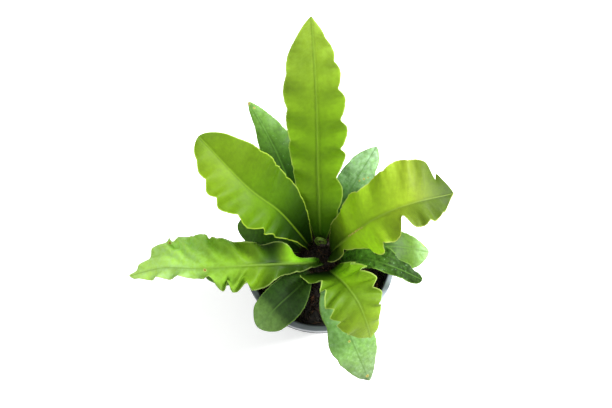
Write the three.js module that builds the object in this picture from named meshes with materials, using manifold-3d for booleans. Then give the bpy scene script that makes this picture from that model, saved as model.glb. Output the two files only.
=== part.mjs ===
// A young bird's nest fern in a round nursery pot. Millimetres, +Z up, the pot rests on z = 0.
import * as THREE from 'three';
import { mergeVertices } from 'three/addons/utils/BufferGeometryUtils.js';
import Module from 'manifold-3d';

const wasm = await Module();
wasm.setup();

// Pot
const potHeight = 120;
const rimRadius = 70;
const lipWidth = 4.2;
const skirtHeight = 14;
const skirtWall = 1.4;
const footRadius = 48;
const potWall = 1.6;
const shoulderHeight = 84;
const shoulderStep = 1.2;
const drainHoles = 8;
const drainRadius = 4.5;
const drainRing = 36;
const potSegments = 40;

// Soil, crown and crozier
const gap = 0.3;
const soilLevel = 106;
const soilBump = 1.1;
const crownX = 2;
const crownY = 3;
const crownRadius = 18.5;
const crownBottom = 90;
const crownTop = 122;
const crownSegments = 24;
const scaleBump = 0.7;
const stalkRadius = 1.9;
const curlTipRadius = 1.1;
const coilRadius = 5.2;
const coilEndRadius = 1.5;
const coilTurns = 1.3;

// Blades and midribs
const bladeThickness = 0.8;
const ribRise = 0.9;
const ribDrop = 1.6;
const ribHalfWidth = 2.4;
const light = { rows: 40, columns: 4, color: 0x86b53a, roughness: 0.5 };
const dark = { rows: 22, columns: 3, color: 0x3f6b33, roughness: 0.45 };
const footRows = 4;

// Each frond has spine points from the crown to the tip. Left is as seen growing away. A list for each side
// has its values at even steps from the base to the tip: half widths, how far the lobes hang and the dips
// between them rise (ruffle), the angle at which the half rises from the midrib (fold), the extra curl
// towards the margin, how far the lobes stand out as a share of the width (scallop) and how far the ruffles
// lean towards the tip (slant). Lobes lists the places of the margin's lobes from 0 at the base to 1 at the
// tip. A notch has its place, depth and spread.
const fronds = [
  {
    name: 'light_frond_1', // back, upright
    kind: light,
    spine: [[2, 12, 112], [0, 29, 154], [-2, 52, 192], [-3, 77, 231], [-5, 107, 272], [-8, 140, 300]],
    half: { left: [2.6, 9, 17, 20, 23, 24, 25, 20, 4], right: [2.6, 10, 19, 18, 22, 22, 20, 15, 2] },
    lobes: {
      left: [0.243, 0.363, 0.479, 0.62, 0.743, 0.885],
      right: [0.15, 0.31, 0.461, 0.571, 0.698, 0.809, 0.89],
    },
    scallop: { left: [0.06, 0.06], right: [0.15, 0.15] },
    ruffle: { left: [2.5, 2.5], right: [3.5, 3.5] },
    fold: { left: [0, -8, -2, 5, 5, 5], right: [35, 15, 8, 5] },
    curl: { left: [-12, -12], right: [-12, -12] },
    tip: 0.05,
  },
  {
    name: 'light_frond_2', // back left, broad and blunt
    kind: light,
    spine: [[-7, 7, 112], [-19, 13, 148], [-36, 23, 180], [-61, 35, 206], [-100, 70, 231]],
    half: { left: [2.6, 6.5, 11, 20, 26, 28, 28, 20, 14], right: [2.6, 8, 15, 22, 28, 31, 30, 22, 14] },
    lobes: {
      left: [0.27, 0.38, 0.475, 0.575, 0.7, 0.784, 0.879],
      right: [0.196, 0.328, 0.458, 0.557, 0.67, 0.82],
    },
    scallop: { left: [0, 0.02, 0.08, 0.08], right: [0, 0.04, 0.04] },
    ruffle: { left: [0.5, 1, 2.4, 2.4, 2], right: [1, 1.4, 1.4] },
    fold: { left: [40, 25, 18, 15, 10], right: [45, 28, 18, 15, 10] },
    curl: { left: [-10, -10], right: [-10, -10] },
    tip: 0.12,
  },
  {
    name: 'light_frond_3', // left, long, hanging at the tip
    kind: light,
    spine: [
      [6, -4, 112], [-11, -12, 137], [-38, -16, 148], [-74, -21, 160],
      [-106, -23, 160], [-137, -20, 150], [-169, -23, 134],
    ],
    half: {
      left: [2.6, 4, 5, 8, 10, 18.5, 20.5, 20.5, 17, 8, 8.5, 8.8, 9, 6.1, 2.8],
      right: [2.6, 4, 4.5, 10, 19, 19, 20, 23.5, 26.5, 31, 29, 29, 21, 8.5, 1.9],
    },
    lobes: {
      left: [0.184, 0.255, 0.4, 0.5, 0.553, 0.658, 0.789, 0.894],
      right: [0.185, 0.35, 0.492, 0.63, 0.755, 0.83, 0.902],
    },
    scallop: { left: [0.15, 0.15], right: [0.08, 0.08] },
    ruffle: { left: [3, 4, 6, 5, 5, 3], right: [3, 11, 8, 6, 5, 5, 4] },
    slant: { left: [0, 0.5, 1, 1, 1], right: [0, 0, 1.2, 1.2, 1.2] },
    fold: { left: [30, 0, -15, -5, 10, 10], right: [30, 12, 8, 2, 0, 0] },
    curl: { left: [-10, -10], right: [-10, -10] },
    notches: {
      left: [[0.453, 0.25, 0.02], [0.529, 0.3, 0.008], [0.6, 0.4, 0.02]],
      right: [[0.605, 0.1, 0.01], [0.785, 0.2, 0.012]],
    },
    tip: 0.04,
  },
  {
    name: 'light_frond_4', // right, arching up and out
    kind: light,
    spine: [[10, 1, 112], [17, 1, 148], [31, 4, 183], [50, 10, 206], [75, 17, 217], [110, 28, 209]],
    half: {
      left: [2.6, 9, 15, 19, 21, 24, 29, 28, 33, 37, 36, 31, 11],
      right: [2.6, 10, 13, 8.5, 12, 23.5, 26, 23, 21, 19, 19, 14, 2],
    },
    lobes: {
      left: [0.19, 0.357, 0.487, 0.622, 0.782, 0.857, 0.948],
      right: [0.18, 0.38, 0.52, 0.63, 0.793, 0.869],
    },
    scallop: { left: [0.04, 0.04], right: [0.12, 0.12] },
    ruffle: { left: [1.5, 2, 2, 2], right: [1, 3, 3, 2.5] },
    fold: { left: [30, 25, 20, 15, 10, 10, 5], right: [35, 35, 30, -10, -25, -30, -5, 0, 0, 5, 5, 5, 5] },
    curl: { left: [-10, -10], right: [-15, -15] },
    notches: { left: [[0.935, 0.45, 0.012]], right: [[0.26, 0.3, 0.015], [0.718, 0.62, 0.022]] },
    tip: 0.08,
  },
  {
    name: 'light_frond_5', // front right, bending over with many small lobes
    kind: light,
    spine: [[9, -12, 112], [14, -27, 150], [22, -43, 178], [31, -58, 183], [38, -72, 172], [43, -81, 150]],
    half: {
      left: [2.6, 9, 13, 15, 18, 20, 21, 21, 20, 17, 13, 11, 7],
      right: [2.6, 18, 27, 31, 25, 18, 20, 22, 24, 22, 20, 13, 3],
    },
    lobes: {
      left: [0.088, 0.204, 0.329, 0.45, 0.6, 0.7, 0.78, 0.9],
      right: [0.136, 0.35, 0.49, 0.6, 0.69, 0.78, 0.897],
    },
    scallop: { left: [0.1, 0.17, 0.2, 0.2], right: [0.01, 0.03, 0.14, 0.16] },
    ruffle: { left: [2, 4, 5, 4, 3], right: [1, 2, 5, 4, 3] },
    slant: { left: [0.5, 0.5], right: [0.5, 0.5] },
    fold: { left: [25, 10, 0, 5, 0], right: [10, 5, 5, 5, 0] },
    curl: { left: [0, 30, 20, -20, -20], right: [0, 20, 20, -20, -20] },
    tip: 0.08,
  },
  {
    name: 'dark_frond_1', // front left
    kind: dark,
    spine: [[-5, -11, 108], [-17, -30, 127], [-35, -48, 132], [-55, -67, 125]],
    half: { left: [2.6, 4, 10, 17, 19, 17, 12], right: [2.6, 8, 16, 18, 18, 17, 12] },
    lobes: { left: [0.3, 0.6, 0.9], right: [0.2, 0.5, 0.8] },
    scallop: { left: [0.02, 0.02], right: [0.02, 0.02] },
    tip: 0.15,
  },
  {
    name: 'dark_frond_2', // front, long, over the rim
    kind: dark,
    spine: [[2, -13, 107.5], [9, -34, 127], [20, -63, 138], [32, -88, 126], [45, -110, 95]],
    half: { left: [2.6, 7, 16, 20, 21, 16, 5], right: [2.6, 6, 14, 17, 20, 14, 4] },
    lobes: { left: [0.3, 0.6, 0.9], right: [0.16, 0.36, 0.6, 0.8] },
    scallop: { left: [0.02, 0.02], right: [0.08, 0.08] },
    ruffle: { left: [1, 1], right: [2, 2] },
    tip: 0.08,
  },
  {
    name: 'dark_frond_3', // right, narrowing to a bent tip
    kind: dark,
    spine: [[15, -6, 108], [38, -11, 145], [63, -19, 152], [92, -25, 128]],
    half: { left: [2.6, 9, 17, 17, 12, 7.5, 6], right: [2.6, 4, 7, 7, 7, 7, 6] },
    lobes: { left: [0.25, 0.5, 0.72, 0.92], right: [0.2, 0.42, 0.65, 0.88] },
    scallop: { left: [0.03, 0.03], right: [0.05, 0.05] },
    ruffle: { left: [2, 3, 2], right: [1, 2, 2] },
    tip: 0.1,
  },
  {
    name: 'dark_frond_4', // right, round at the tip
    kind: dark,
    spine: [[17, 4, 108], [37, 3, 130], [68, 4, 134], [101, 4, 117]],
    half: { left: [2.6, 8, 15, 18, 16, 13, 8], right: [2.6, 8, 15, 18, 19, 17, 10] },
    lobes: { left: [0.3, 0.6, 0.9], right: [0.2, 0.5, 0.8] },
    tip: 0.15,
  },
  {
    name: 'dark_frond_5', // back left, behind the upright frond
    kind: dark,
    spine: [[-6, 15, 108], [-19, 38, 144], [-37, 75, 178], [-62, 116, 200]],
    half: { left: [2.6, 8, 15, 18, 15, 7, 2], right: [2.6, 8, 15, 20, 20, 14, 3] },
    lobes: { left: [0.2, 0.4, 0.55, 0.68, 0.8, 0.92], right: [0.25, 0.45, 0.6, 0.72, 0.84, 0.94] },
    scallop: { left: [0.02, 0.04, 0.1], right: [0.02, 0.04, 0.08] },
    tip: 0.06,
  },
  {
    name: 'dark_frond_6', // back right
    kind: dark,
    spine: [[10, 14, 108], [18, 33, 140], [32, 55, 166], [50, 82, 180]],
    half: { left: [2.6, 8, 14, 17, 16, 13, 4], right: [2.6, 8, 14, 16, 14, 11, 5] },
    lobes: { left: [0.3, 0.52, 0.7, 0.86], right: [0.2, 0.4, 0.58, 0.74, 0.93] },
    scallop: { left: [0.02, 0.04, 0.08], right: [0.02, 0.04, 0.1] },
    tip: 0.1,
  },
  {
    name: 'dark_frond_7', // left, short, under the broad frond
    kind: dark,
    spine: [[-13, 7, 108], [-30, 14, 132], [-51, 20, 140], [-74, 24, 136]],
    half: { left: [2.6, 8, 15, 18, 18, 16, 12], right: [2.6, 8, 15, 18, 18, 16, 12] },
    lobes: { left: [0.3, 0.6, 0.9], right: [0.2, 0.5, 0.8] },
    tip: 0.2,
  },
  {
    name: 'dark_frond_8', // left, low, under the long frond
    kind: dark,
    spine: [[-13, -2, 108], [-37, -5, 124], [-71, -11, 128], [-104, -18, 108]],
    half: { left: [2.6, 6, 12, 17, 17, 13, 6], right: [2.6, 7, 15, 20, 20, 14, 6] },
    lobes: { left: [0.3, 0.6, 0.9], right: [0.2, 0.5, 0.8] },
    tip: 0.15,
  },
];
const plainFrond = {
  scallop: { left: [0.03, 0.03], right: [0.03, 0.03] },
  ruffle: { left: [1, 1], right: [1, 1] },
  fold: { left: [40, 15, 5, 0], right: [40, 15, 5, 0] },
  curl: { left: [-20, -20], right: [-20, -20] },
  slant: { left: [0.3, 0.3], right: [0.3, 0.3] },
  notches: { left: [], right: [] },
};

const fern = new THREE.Group();

function addPiece(name, geometry, color, roughness) {
  const material = new THREE.MeshStandardMaterial({ color, roughness, metalness: 0 });
  const mesh = new THREE.Mesh(geometry, material);
  mesh.name = name;
  fern.add(mesh);
}

// Merge equal points and drop the flat triangles that this leaves at a pole.
function closed(geometry) {
  geometry.deleteAttribute('normal');
  geometry.deleteAttribute('uv');
  const merged = mergeVertices(geometry, 1e-3);
  const corners = merged.index.array;
  const kept = [];
  for (let i = 0; i < corners.length; i += 3) {
    const [a, b, c] = corners.slice(i, i + 3);
    if (a !== b && b !== c && c !== a) kept.push(a, b, c);
  }
  merged.setIndex(kept);
  return merged;
}

function toSolid(geometry) {
  const clean = closed(geometry);
  const vertProperties = new Float32Array(clean.attributes.position.array);
  const triVerts = new Uint32Array(clean.index.array);
  return new wasm.Manifold(new wasm.Mesh({ numProp: 3, vertProperties, triVerts }));
}

function toGeometry(solid) {
  const mesh = solid.getMesh();
  const geometry = new THREE.BufferGeometry();
  geometry.setAttribute('position', new THREE.BufferAttribute(mesh.vertProperties, 3));
  geometry.setIndex(new THREE.BufferAttribute(mesh.triVerts, 1));
  geometry.computeVertexNormals();
  return geometry;
}

// A body turned about +Z from its radius and height profile, walked up the outside.
function turned(profile, segments) {
  const points = profile.map(([radius, height]) => new THREE.Vector2(radius, height));
  const geometry = new THREE.LatheGeometry(points, segments);
  geometry.rotateX(Math.PI / 2);
  return closed(geometry);
}

// A smooth curve through evenly spaced numbers.
function along(values, t) {
  const last = values.length - 1;
  const place = Math.min(Math.max(t, 0), 1) * last;
  const i = Math.min(Math.floor(place), last - 1);
  const f = place - i;
  const b = values[i];
  const c = values[i + 1];
  const a = i > 0 ? values[i - 1] : 2 * b - c;
  const d = i < last - 1 ? values[i + 2] : 2 * c - b;
  const bend = a - 2.5 * b + 2 * c - d / 2 + f * (1.5 * (b - c) + (d - a) / 2);
  return b + f * ((c - a) / 2 + f * bend);
}

// The frond's spine, measured off by length: t is 0 at the crown and 1 at the tip.
function spineOf(points) {
  const steps = 240;
  const at = (s) => new THREE.Vector3(...[0, 1, 2].map((axis) => along(points.map((p) => p[axis]), s)));
  const fine = Array.from({ length: steps + 1 }, (_, i) => at(i / steps));
  const run = [0];
  for (let i = 1; i <= steps; i++) run.push(run[i - 1] + fine[i].distanceTo(fine[i - 1]));
  const length = run[steps];
  const point = (t) => {
    const wanted = Math.min(Math.max(t, 0), 1) * length;
    let i = 1;
    while (i < steps && run[i] < wanted) i++;
    const share = (wanted - run[i - 1]) / (run[i] - run[i - 1]);
    return fine[i - 1].clone().lerp(fine[i], share);
  };
  return { point, length };
}

// A whole number at each lobe of the margin, and halves in the dips between them.
function lobeCount(lobes, t) {
  const last = lobes.length - 1;
  let i = 0;
  while (i < last - 1 && t > lobes[i + 1]) i++;
  return i + (t - lobes[i]) / (lobes[i + 1] - lobes[i]);
}

// One cross-section of the blade: points and the blade's own up direction, right margin to left margin.
function bladeRow(frond, spine, t, grow) {
  const middle = spine.point(t);
  const forward = spine.point(t + 0.01).sub(spine.point(t - 0.01)).normalize();
  const across = new THREE.Vector3(-forward.y, forward.x, 0).normalize();
  const up = new THREE.Vector3().crossVectors(forward, across);
  const beyond = Math.max((t - 1 + frond.tip) / frond.tip, 0);
  const cap = Math.sqrt(Math.max(1 - beyond ** 2, 0.0009));
  const swell = Math.max(Math.sin((Math.PI * Math.min(Math.max(t - 0.08, 0) / 0.95, 1))), 0) ** 0.6;
  const rib = ribHalfWidth * (1 - 0.6 * t);
  const row = [];
  for (let k = -frond.kind.columns; k <= frond.kind.columns; k++) {
    const side = k < 0 ? 'right' : 'left';
    const sign = k < 0 ? -1 : 1;
    const plain = along(frond.half[side], t) * cap;
    const inner = Math.min(rib / plain, 0.5);
    const step = (Math.abs(k) - 1) / (frond.kind.columns - 1);
    const q = k === 0 ? 0 : inner + (1 - inner) * step;
    const scallop = (2 * Math.abs(Math.cos(Math.PI * lobeCount(frond.lobes[side], t))) - 1) * swell;
    let width = plain * (1 + along(frond.scallop[side], t) * scallop * q);
    for (const [place, depth, spread] of frond.notches[side]) {
      width *= 1 - depth * Math.exp(-(((t - place) / spread) ** 2)) * q;
    }
    width += grow;
    const fold = THREE.MathUtils.degToRad(along(frond.fold[side], t));
    const curl = THREE.MathUtils.degToRad(along(frond.curl[side], t)) * q;
    const chord = q * width * (curl === 0 ? 1 : Math.sin(curl / 2) / (curl / 2));
    const lean = along(frond.slant[side], t);
    const ridge = lobeCount(frond.lobes[side], t + (lean * (1 - q) * plain) / spine.length);
    const drop = along(frond.ruffle[side], t) * swell * Math.cos(2 * Math.PI * ridge) * q ** 1.5;
    const out = chord * Math.cos(fold + curl / 2) + drop * Math.sin(fold + curl);
    const rise = chord * Math.sin(fold + curl / 2) - drop * Math.cos(fold + curl);
    const point = middle.clone().addScaledVector(across, sign * out).addScaledVector(up, rise);
    row.push({ point, isRib: k === 0 });
  }
  return { row, forward };
}

// The solid of a frond, or of its first few rows grown all round by a clearance.
function frondGeometry(frond, grow = 0, rows = frond.kind.rows) {
  const end = rows / frond.kind.rows;
  const spine = spineOf(frond.spine);
  const columns = 2 * frond.kind.columns;
  const sheet = [];
  for (let i = 0; i <= rows; i++) {
    const { row, forward } = bladeRow(frond, spine, (end * i) / rows, grow);
    if (i === 0) row.forEach(({ point }) => point.addScaledVector(forward, -grow));
    sheet.push(row);
  }
  const top = [];
  const bottom = [];
  for (let i = 0; i <= rows; i++) {
    const t = (end * i) / rows;
    const share = (1 - t) ** 1.5 + 0.15;
    for (let j = 0; j <= columns; j++) {
      const { point, isRib } = sheet[i][j];
      const ahead = sheet[Math.min(i + 1, rows)][j].point;
      const behind = sheet[Math.max(i - 1, 0)][j].point;
      const left = sheet[i][Math.min(j + 1, columns)].point;
      const right = sheet[i][Math.max(j - 1, 0)].point;
      const normal = ahead.clone().sub(behind).cross(left.clone().sub(right)).normalize();
      const above = bladeThickness / 2 + grow + (isRib ? ribRise * share : 0);
      const below = bladeThickness / 2 + grow + (isRib ? ribDrop * share : 0);
      top.push(point.clone().addScaledVector(normal, above));
      bottom.push(point.clone().addScaledVector(normal, -below));
    }
  }
  return sheetSolid(top, bottom, rows, columns);
}

// Close a top and a bottom grid into one body, both faces split along the same diagonals.
function sheetSolid(top, bottom, rows, columns) {
  const geometry = new THREE.BufferGeometry().setFromPoints([...top, ...bottom]);
  const under = top.length;
  const at = (i, j) => i * (columns + 1) + j;
  const index = [];
  const quad = (a, b, c, d) => index.push(a, b, c, a, c, d);
  for (let i = 0; i < rows; i++) {
    for (let j = 0; j < columns; j++) {
      quad(at(i, j), at(i + 1, j), at(i + 1, j + 1), at(i, j + 1));
      index.push(under + at(i, j), under + at(i + 1, j + 1), under + at(i + 1, j));
      index.push(under + at(i, j), under + at(i, j + 1), under + at(i + 1, j + 1));
    }
    quad(at(i, 0), under + at(i, 0), under + at(i + 1, 0), at(i + 1, 0));
    quad(at(i, columns), at(i + 1, columns), under + at(i + 1, columns), under + at(i, columns));
  }
  for (let j = 0; j < columns; j++) {
    quad(at(0, j), at(0, j + 1), under + at(0, j + 1), under + at(0, j));
    quad(at(rows, j), under + at(rows, j), under + at(rows, j + 1), at(rows, j + 1));
  }
  geometry.setIndex(index);
  return geometry;
}

// Outer radius of the pot's wall, without the step under its shoulder.
function wallAt(z) {
  return footRadius + (rimRadius - lipWidth - footRadius) * (z / potHeight);
}

function potGeometry() {
  const outside = [
    [0, 0], [footRadius - 1, 0], [footRadius, 1.5],
    [wallAt(shoulderHeight) - shoulderStep, shoulderHeight - 2], [wallAt(shoulderHeight), shoulderHeight],
    [wallAt(potHeight - potWall), potHeight - potWall],
    [rimRadius - skirtWall - 0.3, potHeight - potWall],
    [rimRadius - skirtWall - 0.8, potHeight - skirtHeight], [rimRadius - 0.8, potHeight - skirtHeight],
    [rimRadius, potHeight - 1], [rimRadius - 1, potHeight], [rimRadius - lipWidth, potHeight],
  ];
  const inside = [
    [wallAt(potHeight) - potWall, potHeight - 1], [wallAt(shoulderHeight) - potWall, shoulderHeight + 1],
    [wallAt(shoulderHeight) - shoulderStep - potWall, shoulderHeight - 1],
    [footRadius - potWall, potWall + 0.4], [0, potWall],
  ];
  let pot = toSolid(turned([...outside, ...inside], potSegments));
  for (let i = 0; i < drainHoles; i++) {
    const angle = (2 * Math.PI * i) / drainHoles;
    const drill = new THREE.CylinderGeometry(drainRadius, drainRadius, 3 * potWall, 12);
    drill.rotateX(Math.PI / 2);
    drill.translate(drainRing * Math.cos(angle), drainRing * Math.sin(angle), potWall / 2);
    pot = pot.subtract(toSolid(drill));
  }
  return toGeometry(pot);
}

// The crown's radius and height profile, let out all round by a clearance.
function crownProfile(grow) {
  const height = crownTop - crownBottom;
  return [
    [0, crownBottom - grow], [crownRadius * 0.72 + grow, crownBottom - grow],
    [crownRadius * 0.93 + grow, crownBottom + height * 0.25],
    [crownRadius + grow, crownBottom + height * 0.5],
    [crownRadius * 0.98 + grow, crownBottom + height * 0.6],
    [crownRadius * 0.9 + grow, crownBottom + height * 0.72],
    [crownRadius * 0.72 + grow, crownBottom + height * 0.85],
    [crownRadius * 0.45 + grow, crownBottom + height * 0.95],
    [crownRadius * 0.2 + grow, crownTop + grow], [0, crownTop + grow],
  ];
}

function soilGeometry() {
  const inner = (z) => wallAt(z) - potWall - 1.5 * gap;
  const floor = potWall + 0.4 + gap;
  const edge = inner(soilLevel);
  const profile = [
    [0, floor], [inner(floor) - gap, floor], [inner(shoulderHeight) - shoulderStep, shoulderHeight - 1],
    [inner(shoulderHeight), shoulderHeight + 1.3], [edge, soilLevel],
  ];
  for (const share of [0.93, 0.82, 0.7, 0.58, 0.46, 0.34]) profile.push([edge * share, soilLevel]);
  profile.push([0, soilLevel]);
  const body = turned(profile, 40);
  const position = body.attributes.position;
  for (let i = 0; i < position.count; i++) {
    const [x, y, z] = [position.getX(i), position.getY(i), position.getZ(i)];
    const rim = Math.hypot(x, y) > edge * 0.97;
    if (z < soilLevel - 1 || rim) continue;
    const rough = Math.sin(0.31 * x + 1.7) * Math.cos(0.27 * y) + 0.7 * Math.sin(0.83 * x - 0.61 * y);
    position.setZ(i, z + soilBump * rough * 0.6);
  }
  const socket = turned(crownProfile(gap), crownSegments);
  socket.translate(crownX, crownY, 0);
  return toGeometry(toSolid(body).subtract(toSolid(socket)));
}

// A dome of dark scales over a rooted plug, drilled for the foot of each frond and the crozier.
function crownGeometry() {
  const body = turned(crownProfile(0), crownSegments);
  const position = body.attributes.position;
  for (let i = 0; i < position.count; i++) {
    const [x, y, z] = [position.getX(i), position.getY(i), position.getZ(i)];
    if (z < soilLevel + 4 || Math.hypot(x, y) < 1) continue;
    const turn = Math.atan2(y, x);
    const lift = 1 + (scaleBump * Math.cos(7 * turn + 1.3 * z)) / Math.hypot(x, y);
    position.setXY(i, x * lift, y * lift);
  }
  body.translate(crownX, crownY, 0);
  let crown = toSolid(body);
  for (const frond of fronds) crown = crown.subtract(toSolid(frondGeometry(frond, gap, footRows)));
  crown = crown.subtract(toSolid(crozierGeometry(gap)));
  return toGeometry(crown);
}

// A coiled young frond: a short stalk that runs into a flat spiral, thinning towards its middle.
function crozierPath(s) {
  const foot = new THREE.Vector3(crownX - 0.5, crownY + 5.5, crownTop - 11);
  const neck = new THREE.Vector3(crownX - 4.5, crownY + 8.5, crownTop + 7);
  if (s <= 0.3) return foot.lerp(neck, s / 0.3);
  const share = (s - 0.3) / 0.7;
  const inward = new THREE.Vector3(0.95, -0.3, 0);
  const upward = neck.clone().sub(foot).normalize();
  inward.addScaledVector(upward, -inward.dot(upward)).normalize();
  const angle = 2 * Math.PI * coilTurns * share;
  const radius = coilRadius + (coilEndRadius - coilRadius) * share;
  const point = neck.clone().addScaledVector(inward, coilRadius - radius * Math.cos(angle));
  return point.addScaledVector(upward, radius * Math.sin(angle));
}

function crozierGeometry(grow = 0) {
  const rings = grow > 0 ? 4 : 28;
  const end = grow > 0 ? 0.3 : 1;
  const sides = 8;
  const plane = new THREE.Vector3(0.3, 0.95, 0);
  const points = [];
  for (let i = 0; i <= rings; i++) {
    const s = (end * i) / rings;
    const centre = crozierPath(s);
    const forward = crozierPath(Math.min(s + 0.005, 1)).sub(crozierPath(Math.max(s - 0.005, 0))).normalize();
    if (i === 0) centre.addScaledVector(forward, -grow);
    const side = plane.clone().addScaledVector(forward, -plane.dot(forward)).normalize();
    const up = new THREE.Vector3().crossVectors(forward, side);
    const radius = grow + stalkRadius + (curlTipRadius - stalkRadius) * Math.max(s - 0.3, 0) / 0.7;
    for (let k = 0; k < sides; k++) {
      const turn = (2 * Math.PI * k) / sides;
      const offset = side.clone().multiplyScalar(radius * Math.cos(turn));
      points.push(centre.clone().add(offset).addScaledVector(up, radius * Math.sin(turn)));
    }
  }
  const index = [];
  for (let i = 0; i < rings; i++) {
    for (let k = 0; k < sides; k++) {
      const next = (k + 1) % sides;
      const [a, b] = [i * sides + k, i * sides + next];
      index.push(a, b, b + sides, a, b + sides, a + sides);
    }
  }
  for (let k = 1; k < sides - 1; k++) {
    index.push(0, k + 1, k);
    index.push(rings * sides, rings * sides + k, rings * sides + k + 1);
  }
  const geometry = new THREE.BufferGeometry().setFromPoints(points);
  geometry.setIndex(index);
  return geometry;
}

for (const frond of fronds) {
  for (const key of Object.keys(plainFrond)) frond[key] ??= plainFrond[key];
}
addPiece('pot', potGeometry(), 0x2c3032, 0.45);
addPiece('soil', soilGeometry(), 0x16110d, 0.95);
addPiece('crown', crownGeometry(), 0x15130b, 0.9);
addPiece('crozier', crozierGeometry(), 0x4c6d22, 0.6);
for (const frond of fronds) {
  addPiece(frond.name, frondGeometry(frond), frond.kind.color, frond.kind.roughness);
}

export default fern;
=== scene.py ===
# A young bird's nest fern in a round nursery pot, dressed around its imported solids.
import math

import bpy
import numpy as np
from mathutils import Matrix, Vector, noise


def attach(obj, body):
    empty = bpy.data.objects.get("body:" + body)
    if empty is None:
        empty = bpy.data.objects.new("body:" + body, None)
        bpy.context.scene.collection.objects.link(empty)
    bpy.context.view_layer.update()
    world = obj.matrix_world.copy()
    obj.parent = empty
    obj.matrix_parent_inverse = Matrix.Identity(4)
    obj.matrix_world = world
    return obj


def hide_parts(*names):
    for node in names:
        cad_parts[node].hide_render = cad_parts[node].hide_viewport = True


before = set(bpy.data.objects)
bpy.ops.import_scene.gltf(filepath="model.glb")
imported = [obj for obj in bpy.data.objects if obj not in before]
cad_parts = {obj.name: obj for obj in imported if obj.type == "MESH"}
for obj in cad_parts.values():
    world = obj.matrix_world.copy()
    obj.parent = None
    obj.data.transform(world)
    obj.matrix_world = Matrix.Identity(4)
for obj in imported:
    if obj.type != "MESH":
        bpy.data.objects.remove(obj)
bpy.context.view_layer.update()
millimetre = 0.001
print("frame loaded:", len(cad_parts), "solids")


# Meshes: every shape below is worked out in millimetres.

def addPiece(name, points, faces, material, node, slot, **values):
    # values are numbers or vectors, one for each point, stored under their names for the material
    mesh = bpy.data.meshes.new(name)
    mesh.from_pydata((np.asarray(points) * millimetre).tolist(), [], faces)
    mesh.shade_smooth()
    for label, numbers in values.items():
        numbers = np.asarray(numbers, np.float32)
        kind, field = ("FLOAT", "value") if numbers.ndim == 1 else ("FLOAT_VECTOR", "vector")
        mesh.attributes.new(label, kind, "POINT").data.foreach_set(field, numbers.ravel())
    piece = bpy.data.objects.new(name, mesh)
    bpy.context.scene.collection.objects.link(piece)
    mesh.materials.append(material)
    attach(piece, "root")
    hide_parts(node)
    return piece


def unit(vectors):
    return vectors / np.linalg.norm(vectors, axis=-1, keepdims=True)


def gridFaces(rows, columns, start=0, wrap=False):
    # quads of a grid of points; wrap joins the last column to the first
    i, j = np.meshgrid(np.arange(rows - 1), np.arange(columns if wrap else columns - 1), indexing="ij")
    k = (j + 1) % columns
    quads = np.stack([i * columns + j, i * columns + k, (i + 1) * columns + k, (i + 1) * columns + j], -1)
    return (quads.reshape(-1, 4) + start).tolist()


def turnedBody(profile, segments):
    # a closed body from a radius and height profile that starts and ends on the axis, walked up the outside
    radius, height = np.array(profile[1:-1]).T
    turn = np.linspace(0, 2 * math.pi, segments, endpoint=False)
    x, y = np.outer(radius, np.cos(turn)), np.outer(radius, np.sin(turn))
    points = np.stack([x, y, np.repeat(height[:, None], segments, 1)], -1).reshape(-1, 3)
    first, last = len(points), len(points) + 1
    points = np.vstack([points, [0, 0, profile[0][1]], [0, 0, profile[-1][1]]])
    rings = len(radius)
    faces = gridFaces(rings, segments, wrap=True)
    for j in range(segments):
        k = (j + 1) % segments
        faces.append([first, k, j])
        faces.append([last, (rings - 1) * segments + j, (rings - 1) * segments + k])
    return points, faces


def rounded(corners, steps=5):
    # a profile with its corners, given as (radius, height, fillet), rounded off
    path = []
    for i, (x, z, fillet) in enumerate(corners):
        here = np.array([x, z], float)
        if not fillet or i in (0, len(corners) - 1):
            path.append(here)
            continue
        before, after = np.array(corners[i - 1][:2]) - here, np.array(corners[i + 1][:2]) - here
        a = here + before / np.linalg.norm(before) * min(fillet, np.linalg.norm(before) * 0.48)
        b = here + after / np.linalg.norm(after) * min(fillet, np.linalg.norm(after) * 0.48)
        for s in np.linspace(0, 1, steps):
            path.append((1 - s) ** 2 * a + 2 * s * (1 - s) * here + s ** 2 * b)
    return [tuple(p) for p in path]


def roughness3d(points, size, seed, octaves=4):
    # smooth noise between about -1 and 1, whose largest bumps are about size millimetres across
    shift = Vector((seed, 0, 0))
    return np.array([noise.fractal(Vector(p) / size + shift, 0.8, 2.1, octaves) for p in points])


# Shader helpers: a source is either a number, a colour or another node's socket.

def wire(socket, source):
    if isinstance(source, bpy.types.NodeSocket):
        socket.id_data.links.new(source, socket)
    else:
        socket.default_value = source


def nodeFor(kind, *sources):
    # a new node in the tree of the first socket among its sources
    tree = next(source.id_data for source in sources if isinstance(source, bpy.types.NodeSocket))
    return tree.nodes.new("ShaderNode" + kind)


def maths(operation, *sources):
    node = nodeFor("Math", *sources)
    node.operation = operation
    for socket, source in zip(node.inputs, sources):
        wire(socket, source)
    return node.outputs[0]


def times(first, second):
    return maths("MULTIPLY", first, second)


def plus(first, second):
    return maths("ADD", first, second)


def minus(first, second):
    return maths("SUBTRACT", first, second)


def blend(share, first, second, how="MIX"):
    node = nodeFor("Mix", share, first, second)
    node.data_type, node.blend_type = "RGBA", how
    for place, source in zip((0, 6, 7), (share, first, second)):
        wire(node.inputs[place], source)
    return node.outputs[2]


def between(value, low, high, start=0.0, end=1.0):
    # goes smoothly from start to end while value goes from low to high
    node = nodeFor("MapRange", value)
    node.interpolation_type = "SMOOTHSTEP"
    for socket, source in zip(node.inputs, (value, low, high, start, end)):
        wire(socket, source)
    return node.outputs[0]


def mottle(vector, scale, detail=3.0, rough=0.55):
    node = nodeFor("TexNoise", vector)
    for label, source in (("Vector", vector), ("Scale", scale), ("Detail", detail), ("Roughness", rough)):
        wire(node.inputs[label], source)
    return node.outputs["Fac"]


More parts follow.
